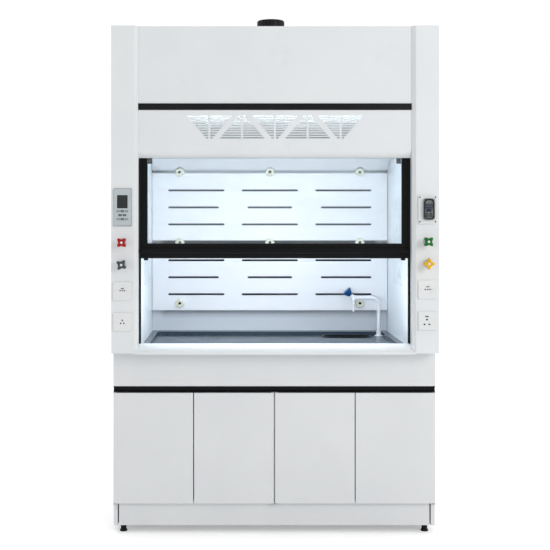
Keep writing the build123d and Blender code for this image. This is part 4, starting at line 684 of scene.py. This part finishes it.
def makeTap():
    low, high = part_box("tap_base")
    x, y = (low.x + high.x) / 2, (low.y + high.y) / 2
    deck, foot = low.z / mm, high.z / mm
    base = [(0, deck), (21.4, deck), (22, deck + 0.8), (21.6, deck + 2.4), (19.5, deck + 3.4), (14.5, deck + 4.4),
            (13.0, deck + 6.2), (12.7, deck + 10), (11.8, foot - 6), (11.8, foot - 0.8), (11.2, foot), (0, foot)]
    settle(placedCopies("tap_pillar_foot", turnedGrid(base, 56), [(x, y, 0)]), whitePolymer, "cabinet", "white_pp",
           "tap_base")
    tube, bend = tapValues["tube"], tapValues["bend"]
    hinge = [joint for joint in frame["joints"] if joint["name"] == "tap_handle_turn"][0]
    outletX, spout = hinge["pos_m"][0] / mm, hinge["pos_m"][2] / mm
    rise = np.linspace(foot + 0.4, spout - bend, 14)
    turn = np.linspace(0, math.pi / 2, 20)[1:]
    run = np.linspace(x / mm - bend, outletX, 14)[1:]
    pathX = np.concatenate([np.full(len(rise), x / mm), x / mm - bend + bend * np.cos(turn), run])
    pathZ = np.concatenate([rise, spout - bend + bend * np.sin(turn), np.full(len(run), spout)])
    heading = np.concatenate([np.full(len(rise), 0.0), turn, np.full(len(run), math.pi / 2)])
    angle = np.linspace(0, 2 * math.pi, 40, endpoint=False)
    outward = np.stack([np.cos(heading), np.sin(heading)], axis=1)  # away from the bend's centre
    points = np.stack([pathX[:, None] + tube * np.cos(angle) * outward[:, :1],
                       y / mm + tube * np.sin(angle) * np.ones((len(pathX), 1)),
                       pathZ[:, None] + tube * np.cos(angle) * outward[:, 1:]], axis=-1) * mm
    neck = placedCopies("tap_swan_neck", points, [(0, 0, 0)])
    settle(neck, whitePolymer, "tap_neck", "white_pp", "tap_neck")
    body = [(0, spout - 15), (12.4, spout - 15), (13.6, spout - 14), (14, spout - 12), (14, spout + 11),
            (13.2, spout + 13.6), (10.6, spout + 15), (0, spout + 15)]
    settle(placedCopies("tap_valve_body", turnedGrid(body, 48), [(outletX * mm, y, 0)]), whitePolymer, "tap_neck",
           "white_pp")
    tip = spout - tapValues["drop"]
    nozzle = [(2.5, tip), (4.2, tip), (4.6, tip + 0.8)]
    for step in range(4):
        start = tip + 1 + 8.5 * step
        nozzle += [(6.1, start + 7.2), (6.0, start + 7.8), (4.7, start + 8.0)]
    nozzle += [(5.4, tip + 38), (8.2, tip + 42), (8.6, tip + 46), (8.6, spout - 15), (2.5, spout - 15)]
    settle(placedCopies("tap_hose_nozzle", turnedGrid(nozzle, 40), [(outletX * mm, y, 0)], wrapRows=True),
           whitePolymer, "tap_neck", "white_pp")
    lean = math.radians(tapValues["lean"])
    direction = (-math.sin(lean), 0, math.cos(lean))
    centre = (outletX * mm, y, spout * mm)
    bonnet = [(0, 0), (10.5, 0), (10.5, 17), (9.8, 19), (9.2, 20.6), (6.0, 21.4), (4.0, 21.6), (4.0, 24), (0, 24)]
    settle(placedCopies("tap_bonnet", turnedGrid(bonnet, 40), [centre], direction), whitePolymer, "tap_neck",
           "white_pp")
    narrow, wide, end = tapValues["narrow"], tapValues["wide"], tapValues["end"]
    handle = [(0, 22.2, 0), (narrow - 1.6, 22.2, 0), (narrow - 0.4, 23.0, 0.2), (narrow + 0.4, 24.5, 0.4),
              (wide - 1.0, end - 7.0, 1.0), (wide, end - 4.2, 0.8), (wide - 0.4, end - 1.8, 0.5),
              (wide - 2.0, end - 0.6, 0.1), (wide - 6.0, end, 0), (wide - 9.0, end - 0.7, 0), (0, end - 0.9, 0)]
    flutes = tapValues["flutes"]
    grid = turnedGrid(handle, flutes * 10, lambda turned: -np.abs(np.cos(flutes / 2 * turned)) ** 6)
    settle(placedCopies("tap_cone_handle", grid, [centre], direction), knobFinishes["blue"], "tap_handle",
           "knob_blue", "tap_handle")


makeTap()


def rectangleStrip(name, low, high, y, section):
    # a profile of (inset, proud) points carried round a rectangle with mitred corners
    section = np.array(section, float) * mm
    cornerX = np.array([low[0], high[0], high[0], low[0]])
    cornerZ = np.array([low[1], low[1], high[1], high[1]])
    inwardX = np.array([1, -1, -1, 1])
    inwardZ = np.array([1, 1, -1, -1])
    points = np.stack([cornerX + section[:, :1] * inwardX, np.ones(4) * (y + section[:, 1:2]),
                       cornerZ + section[:, :1] * inwardZ], axis=-1)
    return placedCopies(name, points, [(0, 0, 0)], wrapRows=True, smooth=False)


cableValues = {"strands": 7, "twist": 18.0, "radius": 1.5, "rows": 160, "columns": 28}


def makeSashTrim():
    # bead carried round the pane; cable radius = R (0.93 + 0.07 cos(strands a + turn)), turn grows with height
    glassLow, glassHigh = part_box("sash_glass")
    bite = 6 * mm
    low = (glassLow.x + bite, glassLow.z + bite)
    high = (glassHigh.x - bite, glassHigh.z - bite)
    bead = [(0, 0), (1.4, 0), (1.3, -1.0), (0.8, -1.8), (0, -2.4)]
    front = rectangleStrip("glazing_bead_front", low, high, glassLow.y, bead)
    back = rectangleStrip("glazing_bead_back", low, high, glassHigh.y, [(u, -v) for u, v in bead])
    for bead in (front, back):
        settle(bead, blackPolymer, "sash", "black_plastic")
    blend = (("sash_cables_front", "sash", "sash_cables_front_wire"),
             ("sash_cables_rear", "counterweight", "sash_cables_rear_wire"))
    for nodeName, body, name in blend:
        low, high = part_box(nodeName)
        y = (low.y + high.y) / 2
        strands, columns = cableValues["strands"], cableValues["columns"]
        height = np.linspace(low.z, high.z, cableValues["rows"])
        angle = np.linspace(0, 2 * math.pi, columns, endpoint=False)
        twist = height[:, None] * 2 * math.pi / (cableValues["twist"] * mm)
        radius = cableValues["radius"] * mm * (0.93 + 0.07 * np.cos(strands * (angle + twist / strands)))
        grid = np.stack([radius * np.cos(angle), radius * np.sin(angle), height[:, None] * np.ones(columns)],
                        axis=-1)
        side = low.x + cableValues["radius"] * mm
        cable = placedCopies(name, grid, [(side, y, 0), (-side, y, 0)])
        cable.data.materials.append(brushedSteel)
        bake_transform(cable)
        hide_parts(nodeName)


makeSashTrim()


pulleyValues = {"inset": 10.0, "rim": 25.5}


def makePulleys():
    # r = radius(row) about the shaft: the outline of one end, then the same in reverse for the other
    for nodeName in ("front_pulleys", "rear_pulleys"):
        low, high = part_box(nodeName)
        y, z = (low.y + high.y) / 2, (low.z + high.z) / 2
        half = high.x / mm
        wheel = half - pulleyValues["inset"]
        outer = pulleyValues["rim"]
        right = [(5, wheel - 5.6), (9, wheel - 5.6), (9, wheel - 5), (14, wheel - 5), (15, wheel - 4),
                 (21.5, wheel - 4), (22.5, wheel - 5), (outer - 0.6, wheel - 5), (outer, wheel - 4.4), (outer, wheel - 3.4),
                 (20.4, wheel - 2.1), (20.1, wheel - 1.4), (20.1, wheel + 1.4), (20.4, wheel + 2.1),
                 (outer, wheel + 3.4), (outer, wheel + 4.4), (outer - 0.6, wheel + 5), (9, wheel + 5),
                 (9, wheel + 5.6), (5, wheel + 5.6), (5, half - 0.6), (4.4, half), (0, half)]
        left = [(r, -x) for r, x in reversed(right)]
        grid = turnedGrid(left + right, 64)
        settle(placedCopies(f"{nodeName}_turned", grid, [(0, y, z)], (1, 0, 0)), brushedSteel, nodeName, "steel",
               nodeName)


makePulleys()


lampValues = {"length": 580.0, "rise": 24.0, "shares": (0.32, 0.68)}


def makeLampTubes():
    low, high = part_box("lamp_window")
    places = [(0, low.y + share * (high.y - low.y), high.z + lampValues["rise"] * mm)
              for share in lampValues["shares"]]
    half = lampValues["length"] / 2
    tube = [(0, -half), (7, -half), (7.6, -half + 1), (7.6, -half + 14), (8, -half + 14.4), (8, half - 14.4),
            (7.6, half - 14), (7.6, half - 1), (7, half), (0, half)]
    settle(placedCopies("lamp_tubes", turnedGrid(tube, 28), places, (1, 0, 0)), lampTube, "cabinet", "lamp_glass")


makeLampTubes()


screwHead = [(0, 0), (3.3, 0), (3.5, 0.3), (3.3, 1.1), (2.5, 1.8), (1.2, 2.1), (0.9, 1.4), (0, 1.3)]


def scaled(profile, factor):
    return [(r * factor, h * factor) for r, h in profile]


def makeFasteners():  # domed heads with a recess, on the covers, outlets, breaker plate and roof
    low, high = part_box("access_covers")
    inset = 12 * mm
    rowZ = (low.z + inset * 1.6, (low.z + high.z) / 2, high.z - inset * 1.6)
    for side, x in (("left", low.x + 3 * mm), ("right", high.x - 3 * mm)):
        places = [(x, y, z) for y in (low.y + inset, high.y - inset) for z in rowZ]
        axis = (1, 0, 0) if side == "left" else (-1, 0, 0)
        settle(placedCopies(f"cover_screws_{side}", turnedGrid(scaled(screwHead, 1.3), 28), places, axis),
               whitePolymer, "cabinet", "white_pp")
    places = [(middle[0] + side * 33 * mm, outletFront, middle[2]) for middle in outletMiddles for side in (-1, 1)]
    settle(placedCopies("outlet_screws", turnedGrid(scaled(screwHead, 0.9), 24), places, (0, -1, 0)), outletWhite,
           "cabinet", "white_plastic")
    low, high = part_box("breaker_box")
    places = [(x, frontY - 10 * mm, z) for x in (low.x + 6.5 * mm, high.x - 6.5 * mm)
              for z in (low.z + 10.5 * mm, high.z - 10.5 * mm)]
    settle(placedCopies("breaker_plate_screws", turnedGrid(screwHead, 28), places, (0, -1, 0)), blackPolymer,
           "cabinet", "steel")
    low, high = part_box("outer_panels")
    columns = np.linspace(low.x + 20 * mm, high.x - 20 * mm, 6)
    rows = np.linspace(low.y + 100 * mm, high.y - 20 * mm, 5)
    places = [(x, rows[-1], high.z) for x in columns]
    places += [(x, y, high.z) for x in (columns[0], columns[-1]) for y in rows[:-1]]
    settle(placedCopies("roof_panel_screws", turnedGrid(scaled(screwHead, 1.5), 24), places), brushedSteel,
           "cabinet", "steel")


makeFasteners()


breakerValues = {"square": 6.5, "nubHeight": 3.5, "nubWidth": 7.0, "band": 7.0}


def makeBreakerTrim():
    # frame outline: x = a sgn(c)|c|^(2/n), z = b sgn(s)|s|^(2/n), with a bell of height nubHeight at top and bottom
    low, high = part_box("breaker_cover")
    middle = ((low.x + high.x) / 2, (low.z + high.z) / 2)
    face = (low.y + 3 * mm) / mm
    halfX, halfZ = (high.x - low.x) / 2 / mm, (high.z - low.z) / 2 / mm
    angle = np.linspace(0, 2 * math.pi, 160, endpoint=False)
    power, nub, spread = 2 / breakerValues["square"], breakerValues["nubHeight"], breakerValues["nubWidth"]
    rows = []
    for inset, proud in ((2.0, 0.0), (2.0, 1.2), (2.6, 1.7), (3.4, 1.8), (5.6, 1.8), (6.4, 1.5), (6.8, 0.0)):
        across = (halfX - inset) * np.sign(np.cos(angle)) * np.abs(np.cos(angle)) ** power
        up = (halfZ - inset - nub) * np.sign(np.sin(angle)) * np.abs(np.sin(angle)) ** power
        up = up + np.sign(up) * nub * np.exp(-(across / spread) ** 2) * (np.abs(up) > halfZ / 2)
        rows.append(np.stack([across, np.full(len(angle), face - proud), up], axis=-1))
    grid = np.array(rows) * mm
    frameRing = placedCopies("breaker_cover_frame", grid, [(middle[0], 0, middle[1])], wrapRows=True)
    settle(frameRing, blackPolymer, "breaker_cover", "smoked_plastic")
    boxLow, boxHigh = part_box("breaker_toggle")
    x, z = (boxLow.x + boxHigh.x) / 2 / mm, (boxLow.z + boxHigh.z) / 2 / mm
    front = frontY / mm - 14.0
    band = breakerValues["band"]
    pale = [((x - 17, front - 0.6, z + 9 + band), (x + 17, front + 0.2, z + 31)),
            ((x - 17, front - 0.6, z - 31), (x + 17, front + 0.2, z - 22))]
    blue = [((x - 17, front - 0.9, z + 8), (x + 17, front + 0.2, z + 8 + band))]
    dark = [((x - 13, front - 2.4, z - 21), (x - 3, front + 0.2, z - 11)),
            ((x + 3, front - 2.4, z - 21), (x + 13, front + 0.2, z - 11))]
    for name, boxes, material in (("breaker_module_labels", pale, moduleGrey),
                                  ("breaker_module_band", blue, toggleBlue),
                                  ("breaker_test_buttons", dark, keyDark)):
        scaledBoxes = [(np.array(a) * mm, np.array(b) * mm) for a, b in boxes]
        settle(blocks(name, scaledBoxes, 0.3 * mm), material, "cabinet", "toggle")


makeBreakerTrim()


def makeKeyMarks():
    # plain signs on the keys, each a thin prism of a regular outline
    signs = [(3, 90), (24, 0), (3, 270), (4, 45), (4, 0), (3, 180), (24, 0), (3, 0)]
    for number, (sides, start) in enumerate(signs, start=1):
        low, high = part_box(f"controller_key_{number}")
        centre = ((low.x + high.x) / 2, low.y, (low.z + high.z) / 2)
        angle = np.radians(start) + np.linspace(0, 2 * math.pi, sides, endpoint=False)
        outline = 1.9 * mm * np.stack([np.cos(angle), np.sin(angle)], axis=1)
        heights = np.array([-0.1, 0.12]) * mm
        grid = np.stack([np.broadcast_to(outline[:, 0], (2, sides)), np.broadcast_to(outline[:, 1], (2, sides)),
                         np.broadcast_to(heights[:, None], (2, sides))], axis=-1)
        mark = placedCopies(f"key_mark_{number}", grid, [centre], (0, -1, 0), smooth=False)
        settle(mark, markPale, f"key_{number}", "bezel")
    # a dark plate 1 mm wider than the bezel on each side, on the post face under it: painted shadow round the bezel
    low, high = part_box("controller_bezel")
    edge = 1.0 * mm
    shadowRim = [((low.x - edge, frontY - 1.2 * mm, low.z - edge), (high.x + edge, frontY - 0.02 * mm, high.z + edge))]
    settle(blocks("controller_gasket", shadowRim, 0.5 * mm), keyDark, "cabinet", "bezel")


makeKeyMarks()
print("stage: fittings made")


def makeFloor():
    half = floorValues["half"]
    corners = np.array([[-half, -half, 0], [half, -half, 0], [half, half, 0], [-half, half, 0]])
    mesh = bpy.data.meshes.new("floor")
    mesh.from_pydata(corners.tolist(), [], [[0, 1, 2, 3]])
    floor = bpy.data.objects.new("floor", mesh)
    bpy.context.scene.collection.objects.link(floor)
    material = finish("paleFloor", {
        "colour": floorValues["colour"], "shade": tuple(0.98 * c for c in floorValues["colour"]),
        "grainScale": 60.0, "roughness": (0.6, 0.7), "relief": 0.02})
    tree = material.node_tree
    place = node(tree, "ShaderNodeTexCoord").outputs["Object"]
    distance = node(tree, "ShaderNodeVectorMath", operation="LENGTH")
    tree.links.new(place, distance.inputs[0])
    glow = remap(tree, distance.outputs["Value"], floorValues["nearGlow"], floorValues["farGlow"], 0.7, 2.4)
    direct = node(tree, "ShaderNodeMath", operation="MULTIPLY")
    tree.links.new(glow, direct.inputs[0])
    tree.links.new(node(tree, "ShaderNodeLightPath").outputs["Is Camera Ray"], direct.inputs[1])
    tree.links.new(direct.outputs[0], tree.nodes["Principled BSDF"].inputs["Emission Strength"])
    tree.nodes["Principled BSDF"].inputs["Emission Color"].default_value = (1, 1, 1, 1)
    floor.data.materials.append(material)


def areaLight(name, place, aim, size, power, colour=(1, 1, 1), sizeY=None, hidden=False):
    light = bpy.data.lights.new(name, "AREA")
    light.energy = power
    light.color = colour
    light.size = size
    if sizeY is not None:
        light.shape = "RECTANGLE"
        light.size_y = sizeY
    holder = bpy.data.objects.new(name, light)
    holder.location = place
    direction = np.array(aim, float) - np.array(place, float)
    holder.rotation_mode = "QUATERNION"
    holder.rotation_quaternion = Vector(direction).to_track_quat("-Z", "Y")
    holder.visible_camera = not hidden
    holder.visible_glossy = not hidden
    bpy.context.scene.collection.objects.link(holder)


def makeLights():
    world = bpy.data.worlds.new("studio")
    bpy.context.scene.world = world
    world.use_nodes = True
    tree = world.node_tree
    backdrop = tree.nodes["Background"]
    backdrop.inputs["Color"].default_value = (1, 1, 1, 1)
    backdrop.inputs["Strength"].default_value = 1.02
    studio = node(tree, "ShaderNodeBackground")
    studio.inputs["Strength"].default_value = lightValues["ambient"]
    place = node(tree, "ShaderNodeTexCoord").outputs["Generated"]
    split = node(tree, "ShaderNodeSeparateXYZ")
    tree.links.new(place, split.inputs[0])
    ahead = remap(tree, split.outputs["Y"], 0.0, 1.0, -0.9, 0.5)
    aside = remap(tree, split.outputs["X"], 0.0, 1.0, -1.0, 1.0)
    front = mixColours(tree, aside, lightValues["frontLeft"], lightValues["frontRight"])
    tree.links.new(mixColours(tree, ahead, front, (1.0, 1.0, 1.0)), studio.inputs["Color"])
    seen = node(tree, "ShaderNodeLightPath")
    choose = node(tree, "ShaderNodeMixShader")
    tree.links.new(seen.outputs["Is Camera Ray"], choose.inputs[0])
    tree.links.new(studio.outputs[0], choose.inputs[1])
    tree.links.new(backdrop.outputs[0], choose.inputs[2])
    tree.links.new(choose.outputs[0], tree.nodes["World Output"].inputs["Surface"])
    middle = (0, 0, 1.1)
    areaLight("keyLight", lightValues["keyPlace"], middle, lightValues["keySize"], lightValues["keyPower"])
    areaLight("fillLight", lightValues["fillPlace"], middle, lightValues["fillSize"], lightValues["fillPower"])
    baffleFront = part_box("baffle_top")[0].y
    place = (0, baffleFront - 75 * mm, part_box("baffle_top")[1].z - 30 * mm)
    areaLight("chamberLight", place, (0, place[1], 0), lightValues["lampLength"], lightValues["lampPower"],
              lightValues["lampColour"], 0.1, hidden=True)
    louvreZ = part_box("header_lower")[1].z - 10 * mm
    areaLight("bypassLight", (0, frontY + 40 * mm, louvreZ), (0, frontY + 60 * mm, louvreZ - 0.1),
              lightValues["bypassLength"], lightValues["bypassPower"], lightValues["bypassColour"], 0.03,
              hidden=True)
    baffleBack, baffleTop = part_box("baffle_upper")[1].y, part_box("baffle_upper")[1].z
    place, aim = (0, baffleBack + 4 * mm, baffleTop - 15 * mm), (0, baffleBack + 40 * mm, baffleTop + 5 * mm)
    areaLight("plenumLight", place, aim, lightValues["plenumLength"], lightValues["plenumPower"],
              lightValues["openingColour"], 0.01, hidden=True)
    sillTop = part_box("sill")[1].z
    place = (0, frontY + 12 * mm, sillTop + 0.22)
    areaLight("openingLight", place, (0, 0.35, place[2] - 0.05), lightValues["openingLength"],
              lightValues["openingPower"], lightValues["openingColour"], 0.3, hidden=True)


def makeCamera():
    camera = bpy.data.cameras.new("camera")
    camera.lens = cameraValues["lens"]
    camera.sensor_width = 36.0
    camera.shift_x = cameraValues["shiftX"]
    camera.shift_y = cameraValues["shiftY"]
    holder = bpy.data.objects.new("camera", camera)
    holder.location = (cameraValues["side"], frontY - cameraValues["back"], cameraValues["height"])
    holder.rotation_euler = (math.pi / 2, 0, 0)
    bpy.context.scene.collection.objects.link(holder)
    bpy.context.scene.camera = holder


makeFloor()
makeLights()
makeCamera()
bpy.context.scene.view_settings.view_transform = "Standard"
print("stage: scene set")
